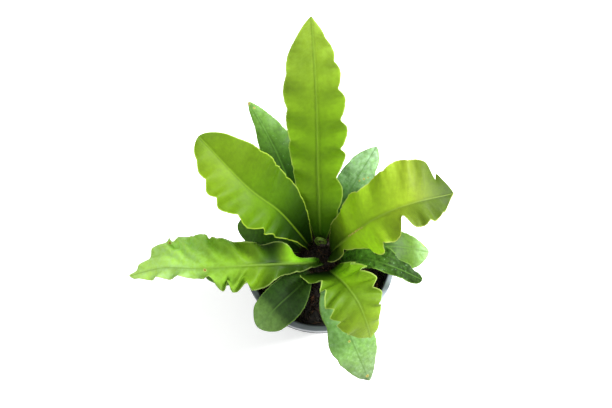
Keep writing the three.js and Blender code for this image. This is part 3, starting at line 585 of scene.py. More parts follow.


# Each frond has its spine and half widths in millimetres from foot to tip, its lobes at shares of its length,
# its angles in degrees, its painted light and shade as brightness factors along each half (cast shadows among
# them) as shade, and damage marks, each given as [share of length, share of half width, radius].
fronds = [
    {  # back, upright
        "name": "lightFrond1", "node": "light_frond_1", "kind": lightBlade, "seed": 21, "tip": 0.05,
        "spine": [[2, 12, 112], [0, 29, 154], [-2, 52, 192], [-3, 77, 231], [-5, 107, 272],
                  [-8, 140, 300]],
        "half": sides([2.6, 9, 17, 20, 23, 24, 25, 20, 4], [2.6, 10, 19, 18, 22, 22, 20, 15, 2]),
        "lobes": sides(
            [0.243, 0.363, 0.479, 0.62, 0.743, 0.885],
            [0.15, 0.31, 0.461, 0.571, 0.698, 0.809, 0.89]),
        "scallop": sides([0.06, 0.06], [0.15, 0.15]),
        "ruffle": sides([2.5, 2.5], [3.5, 3.5]),
        "fold": sides([0, -8, -2, 5, 5, 5], [35, 15, 8, 5]),
        "curl": sides([-12, -12]),
        "shade": sides([1.1, 1.55, 1.3, 1.25, 1, 1], [1.1, 1.7, 1.38, 1.3, 1.15, 1.05]),
        "bloomSheen": [0, 0, 0, 0.06],
    },
    {  # back left, broad and blunt
        "name": "lightFrond2", "node": "light_frond_2", "kind": lightBlade, "seed": 22, "tip": 0.12,
        "spine": [[-7, 7, 112], [-19, 13, 148], [-36, 23, 180], [-61, 35, 206], [-100, 70, 231]],
        "half": sides([2.6, 6.5, 11, 20, 26, 28, 28, 20, 14], [2.6, 8, 15, 22, 28, 31, 30, 22, 14]),
        "lobes": sides(
            [0.27, 0.38, 0.475, 0.575, 0.7, 0.784, 0.879],
            [0.196, 0.328, 0.458, 0.557, 0.67, 0.82]),
        "scallop": sides([0, 0.02, 0.08, 0.08], [0, 0.04, 0.04]),
        "ruffle": sides([0.5, 1, 2.4, 2.4, 2], [1, 1.4, 1.4]),
        "fold": sides([40, 25, 18, 15, 10], [45, 28, 18, 15, 10]),
        "curl": sides([-10, -10]),
        "shade": sides(
            [0.4, 0.3, 0.18, 0.18, 0.35, 0.75, 0.85, 0.9, 0.93, 0.8, 0.58],
            [0.4, 0.3, 0.18, 0.2, 0.35, 0.6, 0.7, 0.75, 0.75, 0.68, 0.52]),
        "tint": (0.96, 1, 0.45, 1),
    },
    {  # left, long, hanging at the tip
        "name": "lightFrond3", "node": "light_frond_3", "kind": lightBlade, "seed": 23, "tip": 0.04,
        "spine": [[6, -4, 112], [-11, -12, 137], [-38, -16, 148], [-74, -21, 160], [-106, -23, 160],
                  [-137, -20, 150], [-169, -23, 134]],
        "half": sides(
            [2.6, 4, 5, 8, 10, 18.5, 20.5, 20.5, 17, 8, 8.5, 8.8, 9, 6.1, 2.8],
            [2.6, 4, 4.5, 10, 19, 19, 20, 23.5, 26.5, 31, 29, 29, 21, 8.5, 1.9]),
        "lobes": sides(
            [0.184, 0.255, 0.4, 0.5, 0.553, 0.658, 0.789, 0.894],
            [0.185, 0.35, 0.492, 0.63, 0.755, 0.83, 0.902]),
        "scallop": sides([0.15, 0.15], [0.08, 0.08]),
        "ruffle": sides([3, 4, 6, 5, 5, 3], [3, 11, 8, 6, 5, 5, 4]),
        "fold": sides([30, 0, -15, -5, 10, 10], [30, 12, 8, 2, 0, 0]),
        "curl": sides([-10, -10]),
        "slant": sides([0, 0.5, 1, 1, 1], [0, 0, 1.2, 1.2, 1.2]),
        "notches": sides(
            [[0.453, 0.25, 0.02], [0.529, 0.3, 0.008], [0.6, 0.4, 0.02]],
            [[0.605, 0.1, 0.01], [0.785, 0.2, 0.012]]),
        "shade": sides(
            [2, 1.5, 0.6, 0.6, 1.1, 1.35, 1.5, 1.8, 1.9, 2, 1.95],
            [2.6, 3.6, 6.2, 5.9, 5.2, 2.6, 0.45, 0.42, 0.85, 1.3, 1.55, 1.75, 1.9, 2.1, 2.35, 2.5, 2.4,
             2.15, 2, 1.95, 1.95]),
        "tint": (1, 1, 1.4, 1), "bloomSheen": [0, 0, 0, 0, 0, 0.05, 0.15, 0.42, 0.55, 0.5, 0.5],
        "marks": [[0.812, -0.9, 1.6], [0.622, 0.16, 1.7]],
    },
    {  # right, arching up and out
        "name": "lightFrond4", "node": "light_frond_4", "kind": lightBlade, "seed": 24, "tip": 0.08,
        "spine": [[10, 1, 112], [17, 1, 148], [31, 4, 183], [50, 10, 206], [75, 17, 217], [110, 28, 209]],
        "half": sides(
            [2.6, 9, 15, 19, 21, 24, 29, 28, 33, 37, 36, 31, 11],
            [2.6, 10, 13, 8.5, 12, 23.5, 26, 23, 21, 19, 19, 14, 2]),
        "lobes": sides(
            [0.19, 0.357, 0.487, 0.622, 0.782, 0.857, 0.948],
            [0.18, 0.38, 0.52, 0.63, 0.793, 0.869]),
        "scallop": sides([0.04, 0.04], [0.12, 0.12]),
        "ruffle": sides([1.5, 2, 2, 2], [1, 3, 3, 2.5]),
        "fold": sides([30, 25, 20, 15, 10, 10, 5], [35, 35, 30, -10, -25, -30, -5, 0, 0, 5, 5, 5, 5]),
        "curl": sides([-10, -10], [-15, -15]),
        "notches": sides([[0.935, 0.45, 0.012]], [[0.26, 0.3, 0.015], [0.718, 0.62, 0.022]]),
        "shade": sides(
            [0.5, 0.6, 0.75, 0.75, 0.7, 0.75, 0.9, 1.5, 2.2, 2.1, 1.9, 1.8, 1.75, 1.65, 1.5, 1.4, 1.1,
             0.8, 0.55, 0.38, 0.3],
            [0.3, 0.3, 0.35, 0.45, 0.5, 1.6, 2.3, 2.4, 2.5, 2.5, 2.4, 2.1, 1.6, 1.25, 1, 0.8, 0.62, 0.5,
             0.4, 0.34, 0.3]),
        "tint": (1.15, 1, 1.4, 1),
        "marks": [[0.36, 0.02, 0.9], [0.375, 0.02, 1], [0.39, 0.01, 1], [0.405, 0, 1.1], [0.42, 0, 1.1],
                  [0.435, 0, 1.1], [0.45, 0, 1], [0.465, -0.01, 1], [0.48, -0.02, 0.9]],
    },
    {  # front right, bending over with many small lobes
        "name": "lightFrond5", "node": "light_frond_5", "kind": lightBlade, "seed": 25, "tip": 0.08,
        "spine": [[9, -12, 112], [14, -27, 150], [22, -43, 178], [31, -58, 183], [38, -72, 172],
                  [43, -81, 150]],
        "half": sides(
            [2.6, 9, 13, 15, 18, 20, 21, 21, 20, 17, 13, 11, 7],
            [2.6, 18, 27, 31, 25, 18, 20, 22, 24, 22, 20, 13, 3]),
        "lobes": sides(
            [0.088, 0.204, 0.329, 0.45, 0.6, 0.7, 0.78, 0.9],
            [0.136, 0.35, 0.49, 0.6, 0.69, 0.78, 0.897]),
        "scallop": sides([0.1, 0.17, 0.2, 0.2], [0.01, 0.03, 0.14, 0.16]),
        "ruffle": sides([1.5, 2.8, 3.2, 2.6, 2], [1, 1.6, 3.2, 2.6, 2]),
        "fold": sides([25, 10, 0, 5, 0], [10, 5, 5, 5, 0]),
        "curl": sides([0, 30, 20, -20, -20], [0, 20, 20, -20, -20]),
        "slant": sides([0.5, 0.5]),
        "shade": sides([0.4, 2.4, 2.2, 0.95, 1.05, 1.25], [0.15, 0.3, 0.7, 0.85, 1, 1.25]),
        "tint": (1, 1, 1.15, 1),
    },
    {  # front left
        "name": "darkFrond1", "node": "dark_frond_1", "kind": darkBlade, "seed": 26, "tip": 0.15,
        "spine": [[-5, -11, 108], [-17, -30, 127], [-35, -48, 132], [-55, -67, 125]],
        "half": sides([2.6, 4, 10, 17, 19, 17, 12], [2.6, 8, 16, 18, 18, 17, 12]),
        "scallop": sides([0.02, 0.02]),
        "shade": sides([1.8, 1.8, 1.8, 1.7, 1.6, 1.2, 0.85, 0.7, 0.6, 0.6, 0.6, 1.4, 1.6, 1.6, 1.6]),
        "tint": (1.05, 1, 1.25, 1), "bloomSheen": [0, 0, 0, 0.1],
    },
    {  # front, long, over the rim
        "name": "darkFrond2", "node": "dark_frond_2", "kind": darkBlade, "seed": 27, "tip": 0.08,
        "spine": [[2, -13, 107.5], [9, -34, 127], [20, -63, 138], [32, -88, 126], [45, -110, 95]],
        "half": sides([2.6, 7, 16, 20, 21, 16, 5], [2.6, 6, 14, 17, 20, 14, 4]),
        "lobes": sides([0.3, 0.6, 0.9], [0.16, 0.36, 0.6, 0.8]),
        "scallop": sides([0.02, 0.02], [0.08, 0.08]),
        "ruffle": sides([1, 1], [2, 2]),
        "shade": sides([2.2, 3.3, 3.2, 0.95]),
        "tint": (1.05, 0.97, 1.05, 1), "bloomSheen": [0.1, 0.2, 0.2, 0.3], "specks": 0.25,
        "marks": [[0.616, -0.13, 1.3], [0.95, 0, 1.8]],
    },
    {  # right, narrowing to a bent tip
        "name": "darkFrond3", "node": "dark_frond_3", "kind": darkBlade, "seed": 28, "tip": 0.1,
        "spine": [[15, -6, 108], [38, -11, 145], [63, -19, 152], [92, -25, 128]],
        "half": sides([2.6, 9, 17, 17, 12, 7.5, 6], [2.6, 4, 7, 7, 7, 7, 6]),
        "lobes": sides([0.25, 0.5, 0.72, 0.92], [0.2, 0.42, 0.65, 0.88]),
        "scallop": sides([0.03, 0.03], [0.05, 0.05]),
        "ruffle": sides([2, 3, 2], [1, 2, 2]),
        "shade": sides([3, 3.2, 0.75, 0.4]),
        "specks": 0.25, "mottle": 1.3, "gloss": 0.3,
    },
    {  # right, round at the tip
        "name": "darkFrond4", "node": "dark_frond_4", "kind": darkBlade, "seed": 29, "tip": 0.15,
        "spine": [[17, 4, 108], [37, 3, 130], [68, 4, 134], [101, 4, 117]],
        "half": sides([2.6, 8, 15, 18, 16, 13, 8], [2.6, 8, 15, 18, 19, 17, 10]),
        "shade": sides([1.2, 1.5, 1.5, 1.3, 1.4, 2.4]),
        "tint": (1, 1, 0.5, 1), "bloomSheen": [0, 0, 0, 0, 0, 0.65],
        "marks": [[0.93, 0.95, 1.6], [0.95, 0.8, 1.2]],
    },
    {  # back left, behind the upright frond
        "name": "darkFrond5", "node": "dark_frond_5", "kind": darkBlade, "seed": 30, "tip": 0.06,
        "spine": [[-6, 15, 108], [-19, 38, 144], [-37, 75, 178], [-62, 116, 200]],
        "half": sides([2.6, 8, 15, 18, 15, 7, 2], [2.6, 8, 15, 20, 20, 14, 3]),
        "lobes": sides([0.2, 0.4, 0.55, 0.68, 0.8, 0.92], [0.25, 0.45, 0.6, 0.72, 0.84, 0.94]),
        "scallop": sides([0.02, 0.04, 0.1], [0.02, 0.04, 0.08]),
        "shade": sides([0.8, 0.6, 0.55, 1.35, 1.9]),
        "tint": (0.95, 1.06, 0.75, 1), "bloomSheen": [0, 0, 0, 0, 0.1], "specks": 0.15,
        "marks": [[0.99, 0.3, 1.4], [0.955, -0.3, 1.1]],
    },
    {  # back right
        "name": "darkFrond6", "node": "dark_frond_6", "kind": darkBlade, "seed": 31, "tip": 0.1,
        "spine": [[10, 14, 108], [18, 33, 140], [32, 55, 166], [50, 82, 180]],
        "half": sides([2.6, 8, 14, 17, 16, 13, 4], [2.6, 8, 14, 16, 14, 11, 5]),
        "lobes": sides([0.3, 0.52, 0.7, 0.86], [0.2, 0.4, 0.58, 0.74, 0.93]),
        "scallop": sides([0.02, 0.04, 0.08], [0.02, 0.04, 0.1]),
        "shade": sides([1, 1.8, 2.2, 2.4]),
        "tint": (0.95, 1.06, 0.95, 1), "bloomSheen": [0.05, 0.2, 0.95],
        "marks": [[0.7, -0.2, 0.9], [0.73, -0.4, 1.1], [0.757, -0.6, 0.9]],
    },
    {  # left, short, under the broad frond
        "name": "darkFrond7", "node": "dark_frond_7", "kind": darkBlade, "seed": 32, "tip": 0.2,
        "spine": [[-13, 7, 108], [-30, 14, 132], [-51, 20, 140], [-74, 24, 136]],
        "half": sides([2.6, 8, 15, 18, 18, 16, 12]),
        "shade": sides([0.8, 1.1]),
        "tint": (0.95, 1.1, 0.7, 1),
    },
    {  # left, low, under the long frond
        "name": "darkFrond8", "node": "dark_frond_8", "kind": darkBlade, "seed": 33, "tip": 0.15,
        "spine": [[-13, -2, 108], [-37, -5, 124], [-71, -11, 128], [-104, -18, 108]],
        "half": sides([2.6, 6, 12, 17, 17, 13, 6], [2.6, 7, 15, 20, 20, 14, 6]),
        "shade": sides([0.9, 0.9, 1.1, 1.2]),
        "tint": (0.95, 1.06, 0.8, 1), "gloss": 0.5,
    },
]
plainFrond = {
    "scallop": sides([0.03, 0.03]),
    "ruffle": sides([1, 1]),
    "fold": sides([40, 15, 5, 0]),
    "curl": sides([-20, -20]),
    "slant": sides([0.3, 0.3]),
    "notches": sides([]),
    "lobes": sides([0.3, 0.6, 0.9], [0.2, 0.5, 0.8]),
    "tint": (1, 1, 1, 1), "bloomSheen": [0, 0], "specks": 0.0, "gloss": 1.0, "marks": [],
}


def along(values, t):
    # a smooth curve through evenly spaced values
    v = np.asarray(values, float)
    v = np.concatenate([[2 * v[0] - v[1]], v, [2 * v[-1] - v[-2]]])
    last = len(v) - 3
    x = np.clip(np.asarray(t, float), 0, 1) * last
    i = np.minimum(x.astype(int), last - 1)
    f = (x - i)[:, None] if v.ndim == 2 else x - i
    a, b, c, d = v[i], v[i + 1], v[i + 2], v[i + 3]
    return b + f * ((c - a) / 2 + f * (a - 2.5 * b + 2 * c - d / 2 + f * (1.5 * (b - c) + (d - a) / 2)))


def spineAt(points, t):
    # points on the spine by share of its length, and that length
    fine = along(points, np.linspace(0, 1, 401))
    run = np.concatenate([[0], np.cumsum(np.linalg.norm(np.diff(fine, axis=0), axis=1))])
    return np.stack([np.interp(t * run[-1], run, fine[:, k]) for k in range(3)], -1), run[-1]


def lobeCount(lobes, t):
    # a whole number at each lobe of the margin, and halves in the dips between them
    index = np.interp(t, lobes, np.arange(len(lobes)))
    index = np.where(t < lobes[0], (t - lobes[0]) / (lobes[1] - lobes[0]), index)
    beyond = len(lobes) - 1 + (t - lobes[-1]) / (lobes[-1] - lobes[-2])
    return np.where(t > lobes[-1], beyond, index)


def ripple(draw, x, lengths):
    # a sum of sines of these wavelengths with drawn phases, about -1 to 1
    total = sum(np.sin(2 * math.pi * x / length + draw.uniform(0, 2 * math.pi)) for length in lengths)
    return total / len(lengths)


def bladeHalf(frond, look, t, length, side, draw):
    # one half of the blade in its own plane: how far out, how high, the flat distance and the half width
    q = (np.linspace(0, 1, look["columns"] + 1) ** 1.1)[None]
    beyond = np.clip((t - 1 + frond["tip"]) / frond["tip"], 0, 1)
    cap = np.sqrt(np.maximum(1 - beyond ** 2, 0.0009))
    swell = np.clip(np.sin(math.pi * np.clip((t - 0.08) / 0.95, 0, 1)), 0, 1) ** 0.6
    lobes = frond["lobes"][side]
    x = t * length
    plain = (along(frond["half"][side], t) * cap)[:, None]
    scallop = (2 * np.abs(np.cos(math.pi * lobeCount(lobes, t))) - 1) * swell
    width = plain * (1 + (along(frond["scallop"][side], t) * scallop)[:, None] * q)
    for place, depth, spread in frond["notches"][side]:
        width = width * (1 - depth * np.exp(-((t - place) / spread) ** 2)[:, None] * q)
    free = (swell * cap)[:, None]
    width = width + look["raggedness"] * free * q ** 3 * ripple(draw, x, (3.1, 4.7, 7.9))[:, None]
    fold = np.radians(along(frond["fold"][side], t))[:, None]
    curl = np.radians(along(frond["curl"][side], t))[:, None] * q
    chord = q * width * np.sinc(curl / 2 / math.pi)
    lean = along(frond["slant"][side], t)[:, None]
    place = lobeCount(lobes, t[:, None] + lean * (1 - q) * plain / length)
    strength = np.interp(t, lobes, draw.uniform(0.8, 1.25, len(lobes)))[:, None]
    deep = (along(frond["ruffle"][side], t) * swell)[:, None]
    drop = deep * strength * np.cos(2 * math.pi * place) * q ** 1.5
    drop = drop + look["crinkle"] * free * q ** 2.2 * ripple(draw, x, (5.3, 8.1, 12.7))[:, None]
    out = chord * np.cos(fold + curl / 2) + drop * np.sin(fold + curl)
    rise = chord * np.sin(fold + curl / 2) - drop * np.cos(fold + curl)
    return out, rise, q * width, np.broadcast_to(width, out.shape)


def bladeSheet(frond, look, draw):
    # the middle sheet of a blade from its right margin to its left, and each point's place on the leaf
    steps, cap = look["rows"], look["capRows"]
    body = 1 - frond["tip"]
    closing = np.sin(np.linspace(0, math.pi / 2, cap + 1)[1:])
    t = np.concatenate([np.linspace(0, body, steps + 1), body + frond["tip"] * closing])
    middle, length = spineAt(frond["spine"], t)
    ahead = spineAt(frond["spine"], np.minimum(t + 0.01, 1))[0]
    forward = unit(ahead - spineAt(frond["spine"], np.maximum(t - 0.01, 0))[0])
    across = unit(np.stack([-forward[:, 1], forward[:, 0], 0 * t], -1))
    up = np.cross(forward, across)
    halves = {}
    for side, sign in (("left", 1), ("right", -1)):
        out, rise, flat, width = bladeHalf(frond, look, t, length, side, draw)
        sheet = middle[:, None] + sign * across[:, None] * out[..., None] + up[:, None] * rise[..., None]
        place = np.stack([np.broadcast_to((t * length)[:, None], out.shape), sign * flat, width - flat], -1)
        halves[side] = (sheet, place)
    sheet = np.concatenate([halves["right"][0][:, :0:-1], halves["left"][0]], 1)
    place = np.concatenate([halves["right"][1][:, :0:-1], halves["left"][1]], 1)
    return sheet, place, t, length


def bothSides(lists, t, across):
    # values from a list for each half of the blade, met softly at the midrib
    share = 1 / (1 + np.exp(-across / 0.5))
    return share * along(lists["left"], t) + (1 - share) * along(lists["right"], t)


def bladeBody(frond, look):
    # the closed solid of a blade: its points, its faces, the stored values and the sheets its scales grow on
    draw = np.random.default_rng(frond["seed"])
    sheet, place, t, length = bladeSheet(frond, look, draw)
    rows, columns = sheet.shape[:2]
    normal = unit(np.cross(np.gradient(sheet, axis=0), np.gradient(sheet, axis=1)))
    share = ((1 - t) ** 1.5 + 0.15)[:, None]
    y = place[..., 1]
    q = np.abs(y) / np.maximum(np.abs(y) + place[..., 2], 1e-6)
    ribWidth = look["ribWidth"] * (1 - 0.6 * t)[:, None]
    rib = np.exp(-(y / ribWidth) ** 2)
    groove = 0.18 * np.exp(-((np.abs(y) - 2.1 * ribWidth) / ribWidth) ** 2)
    half = look["thickness"] / 2 * (1 - 0.45 * q ** 4)
    slant = place[..., 0] - veinLean * np.abs(y)
    pleat = look["pleat"] * np.cos(2 * math.pi * slant / look["pleatSpacing"])
    pleat = pleat * np.sin(math.pi * np.clip(q, 0, 1)) ** 0.8
    keel = np.exp(-(y / ribWidth / 1.25) ** 2)
    top = sheet + normal * (half + look["ribRise"] * share * rib - groove * share + pleat)[..., None]
    under = sheet - normal * (half + look["ribDrop"] * share * keel - pleat)[..., None]
    rims = []
    for edge, inside in ((0, 1), (-1, -2)):
        out = sheet[:, edge] - sheet[:, inside]
        out /= np.maximum(np.linalg.norm(out, axis=1), 1e-9)[:, None]
        rims.append(sheet[:, edge] + out * look["thickness"] * 0.3)
    size = rows * columns
    points = np.concatenate([top.reshape(-1, 3), under.reshape(-1, 3), *rims])
    faces = [face[::-1] for face in gridFaces(rows, columns)] + gridFaces(rows, columns, size)
    right, left = 2 * size, 2 * size + rows
    for i in range(rows - 1):
        a, b = i * columns, (i + 1) * columns
        faces += [[a, right + i, right + i + 1, b], [right + i, size + a, size + b, right + i + 1]]
        a, b = a + columns - 1, b + columns - 1
        faces += [[a, b, left + i + 1, left + i], [left + i, left + i + 1, size + b, size + a]]
    end = (rows - 1) * columns
    for j in range(columns - 1):
        faces.append([j, j + 1, size + j + 1, size + j])
        faces.append([end + j, size + end + j, size + end + j + 1, end + j + 1])
    faces += [[0, size, right], [size + columns - 1, columns - 1, left]]
    corner = end + columns - 1
    faces += [[size + end, end, right + rows - 1], [corner, size + corner, left + rows - 1]]
    leafPlace = np.concatenate([place.reshape(-1, 3)] * 2 + [place[:, 0], place[:, -1]])
    run = np.concatenate([np.repeat(t, columns)] * 2 + [t, t])
    marks = np.zeros(len(points))
    reach = np.maximum(np.abs(leafPlace[:, 1]) + leafPlace[:, 2], 1e-6)
    for at, across, radius in frond["marks"]:
        apart = np.hypot((run - at) * length, leafPlace[:, 1] - across * reach)
        marks = np.maximum(marks, np.exp(-(apart / radius) ** 2))
    below = np.concatenate([np.zeros(size), np.ones(size), np.full(2 * rows, 0.5)])
    values = {"leafPlace": leafPlace, "leafRun": run, "leafUnder": below, "leafMark": marks}
    # painted light and shade: brightness factors along each half of the blade, painted cast shadows among
    # them
    values["leafShade"] = bothSides(frond["shade"], run, leafPlace[:, 1])
    # a pale bloom along the blade, partly the leaf's own bloom and partly painted sheen
    values["leafBloomSheen"] = along(frond["bloomSheen"], run)
    return points, faces, values, (top, under, normal, place)


def leafGroup():
    # a blade's colour, gloss and relief from its stored places: millimetres along, across and from the margin
    tree, given, made = newGroup(
        "leafSurface",
        {label.title(): lightBlade[label] for label in leafColours} |
        {"Bark": barkBrown, "Scorch": scorchBrown, "Yellow": scorchYellow, "Speck And Sheen": speckAndSheenWhite,
         "Specks": 0.0, "Mottle": 0.0, "Shift": 0.0, "Roughness": 0.4},
        {"Color": "Color", "Glow": "Color", "Roughness": "Float", "Height": "Float"})
    place = stored(tree, "leafPlace", "Vector")
    split = tree.nodes.new("ShaderNodeSeparateXYZ")
    tree.links.new(place, split.inputs[0])
    lengthwise, across, rim = split.outputs
    run, below, mark = stored(tree, "leafRun"), stored(tree, "leafUnder"), stored(tree, "leafMark")
    outwards = maths("ABSOLUTE", across)
    shift = tree.nodes.new("ShaderNodeVectorMath")
    shift.operation = "ADD"
    tree.links.new(place, shift.inputs[0])
    tree.links.new(given["Shift"], shift.inputs[1])
    skin = stretched(shift.outputs[0], 1, 1, 0)
    cloud = mottle(skin, 0.045, 3.0)
    blotch = mottle(skin, 0.22, 4.0)
    fine = mottle(skin, 1.6, 3.0)

    slant = minus(lengthwise, times(outwards, veinLean))
    slant = plus(slant, times(blotch, 1.2))
    vein = maths("COSINE", times(slant, 2 * math.pi / veinSpacing))
    vein = between(vein, 0.35, 1.0)
    vein = times(vein, between(rim, 0.5, 2.0))
    ribHalf = minus(1.5, run)
    ribMask = between(maths("DIVIDE", outwards, ribHalf), 0.45, 1.15, 1.0, 0.0)
    besideRib = between(maths("DIVIDE", outwards, ribHalf), 1.0, 4.2, 1.0, 0.0)
    marginMask = between(rim, 0.3, 1.1, 1.0, 0.0)
    awake = between(run, 0.03, 0.2)

    # darker towards the foot: partly the blade's own colour, partly painted shade near the crown
    colour = blend(between(run, 0.06, 0.42), given["Foot"], given["Middle"])
    colour = blend(between(run, 0.5, 1.02), colour, given["Tip"])
    colour = brighten(colour, between(cloud, 0.25, 0.75, 0.9, 1.1))
    colour = brighten(colour, between(blotch, 0.3, 0.7, 0.95, 1.06))
    # painted shade: darker bands beside the midrib stand for the shadows of the raised rib
    colour = brighten(colour, minus(1.0, times(besideRib, 0.14)))
    colour = brighten(colour, plus(1.0, times(vein, 0.1)))
    # painted light and shade: each half's colour is scaled along the blade, and where it is darkened it is
    # also made greener
    shade = stored(tree, "leafShade")
    dim = maths("MINIMUM", shade, 1.0)
    greener = tree.nodes.new("ShaderNodeCombineColor")
    greener.inputs["Green"].default_value = 1.0
    tree.links.new(maths("POWER", dim, 0.3), greener.inputs["Red"])
    tree.links.new(maths("POWER", dim, 0.15), greener.inputs["Blue"])
    colour = blend(1.0, brighten(colour, shade), greener.outputs[0], "MULTIPLY")
    # pale whitish bloom: partly the leaf's own bloom, partly painted sheen where the blade reflects the
    # bright room
    bloomSheenMask = between(plus(blotch, times(fine, 0.3)), 0.45, 0.85, 0.35, 1.0)
    bloomSheenMask = times(bloomSheenMask, stored(tree, "leafBloomSheen"))
    colour = blend(bloomSheenMask, colour, given["Speck And Sheen"])
    cells = tree.nodes.new("ShaderNodeTexVoronoi")
    tree.links.new(skin, cells.inputs["Vector"])
    cells.inputs["Scale"].default_value = 0.42
    dots = between(cells.outputs["Distance"], 0.13, 0.24, 1.0, 0.0)
    dots = times(dots, between(blotch, 0.48, 0.6))
    colour = blend(times(dots, given["Specks"]), colour, given["Speck And Sheen"])
    patchy = times(minus(mottle(skin, 0.26, 2.0), 0.5), given["Mottle"])
    colour = brighten(colour, plus(times(patchy, 2.0), 1.0))
    colour = blend(times(below, 0.75), colour, given["Under"])
    colour = blend(times(ribMask, times(awake, 0.5)), colour, given["Rib"])
    colour = blend(times(marginMask, times(awake, 0.7)), colour, given["Margin"])
    hurt = plus(mark, times(minus(fine, 0.62), 0.9))
    hurt = times(hurt, between(mark, 0.05, 0.2))
    colour = blend(between(hurt, 0.25, 0.5), colour, given["Yellow"])
    colour = blend(between(hurt, 0.5, 0.75), colour, given["Scorch"])
    barky = plus(lengthwise, times(fine, 7.0))
    barky = between(barky, 6.0, 17.0, 0.92, 0.0)
    colour = blend(barky, colour, given["Bark"])
    wire(made["Color"], colour)
    wire(made["Glow"], blend(1.0, colour, glowTint, "MULTIPLY"))

    rough = plus(given["Roughness"], times(minus(blotch, 0.5), 0.22))
    rough = plus(rough, times(below, 0.14))
    rough = plus(rough, times(between(hurt, 0.3, 0.6), 0.25))
    wire(made["Roughness"], plus(rough, times(barky, 0.35)))
    relief = plus(times(vein, 0.6), times(fine, 0.35))
    wire(made["Height"], plus(relief, times(blotch, 0.8)))
    return tree


def leafMaterial(frond, group):
    look = frond["kind"]
    tint = frond["tint"]
    values = {name.title(): tuple(a * b for a, b in zip(look[name], tint)) for name in leafColours}
    values |= {"Specks": frond["specks"], "Mottle": frond.get("mottle", look["mottle"]),
               "Shift": frond["seed"] * 31.0, "Roughness": look["roughness"]}
    shader = {"Specular IOR Level": look["specular"] * frond["gloss"], "Coat Weight": look["coat"],
              "Coat Roughness": 0.25}
    name = frond["name"] + "Leaf"
    material, tree, principled, surface, relief = newMaterial(name, group, values, shader, 0.07)
    glow = tree.nodes.new("ShaderNodeBsdfTranslucent")
    tree.links.new(surface.outputs["Glow"], glow.inputs["Color"])
    tree.links.new(relief.outputs["Normal"], glow.inputs["Normal"])
    both = tree.nodes.new("ShaderNodeMixShader")
    both.inputs[0].default_value = look["glow"]
    tree.links.new(principled.outputs[0], both.inputs[1])
    tree.links.new(glow.outputs[0], both.inputs[2])
    tree.links.new(both.outputs[0], tree.nodes["Material Output"].inputs["Surface"])
    return material


def footScales(frond, foot):
    # small brown scales on the first centimetre and a half of a frond, on both faces
    top, under, normal, place = foot
    draw = np.random.default_rng(frond["seed"] + 100)
    rows = int(np.searchsorted(place[:, 0, 0], 17.0))
    count = crown["footScales"] * 2
    i = np.minimum((draw.uniform(0, 1, count) ** 1.5 * rows).astype(int), rows - 1)
    j = draw.integers(2, top.shape[1] - 2, count)
    face = draw.integers(0, 2, count)
    roots = np.where(face[:, None] == 0, top[i, j], under[i, j])
    outward = np.where(face[:, None] == 0, normal[i, j], -normal[i, j])
    forward = unit(top[i + 2, j] - top[i, j])
    lean = unit(forward + outward * draw.uniform(0.15, 0.5, (count, 1)) + draw.normal(size=(count, 3)) * 0.18)
    outward = unit(outward - lean * np.sum(outward * lean, 1)[:, None])
    points, faces = scales(draw, roots - outward * 0.15, lean, outward, (2.0, 4.4), (0.4, 0.9))
    kinds = np.repeat(draw.uniform(0.1, 1.0, count), scalePoints)
    return points, faces, kinds


def makeFronds():
    leaf = leafGroup()
    chaff, chaffFaces, chaffKinds = [], [], []
    for frond in fronds:
        for key, value in plainFrond.items():
            frond.setdefault(key, value)
        points, faces, values, foot = bladeBody(frond, frond["kind"])
        look, slot = leafMaterial(frond, leaf), frond["kind"]["slot"]
        addPiece(frond["name"], points, faces, look, frond["node"], slot, **values)
        points, faces, kinds = footScales(frond, foot)
        start = sum(len(part) for part in chaff)
        chaff.append(points)
        chaffFaces += [[corner + start for corner in face] for face in faces]
        chaffKinds.append(kinds)
    points, kinds = np.concatenate(chaff), np.concatenate(chaffKinds)
    addPiece("footScales", points, chaffFaces, crownLook, "crown", "crown_scales", bitKind=kinds)


makeFronds()
print("fronds made")


# Crozier

crozier = {
    "stalkRadius": 1.9, "tipRadius": 1.1, "coilRadius": 5.2, "coilEndRadius": 1.5, "coilTurns": 1.3,
    "foot": (-0.5, 5.5, -11), "neck": (-4.5, 8.5, 7), "straight": 0.3, "inward": (0.95, -0.3, 0),
    "rings": 150, "sides": 18, "scales": 210, "seed": 41,
    "dark": (0.11, 0.21, 0.015, 1), "brown": (0.17, 0.3, 0.03, 1), "rust": (0.07, 0.06, 0.015, 1),
}


def crozierPath(s):
    # a straight stalk from foot to neck, measured from the middle of the crown's top, then a closing coil
    top = np.array([crown["x"], crown["y"], crown["top"]])
    foot, neck, straight = top + crozier["foot"], top + crozier["neck"], crozier["straight"]
    if s <= straight:
        return foot + (neck - foot) * s / straight
    share = (s - straight) / (1 - straight)
    upward = unit(neck - foot)
    inward = np.array(crozier["inward"])
    inward = unit(inward - upward * inward.dot(upward))
    angle = 2 * math.pi * crozier["coilTurns"] * share
    radius = crozier["coilRadius"] + (crozier["coilEndRadius"] - crozier["coilRadius"]) * share
    middle = neck + inward * (crozier["coilRadius"] - radius * math.cos(angle))
    return middle + upward * radius * math.sin(angle)


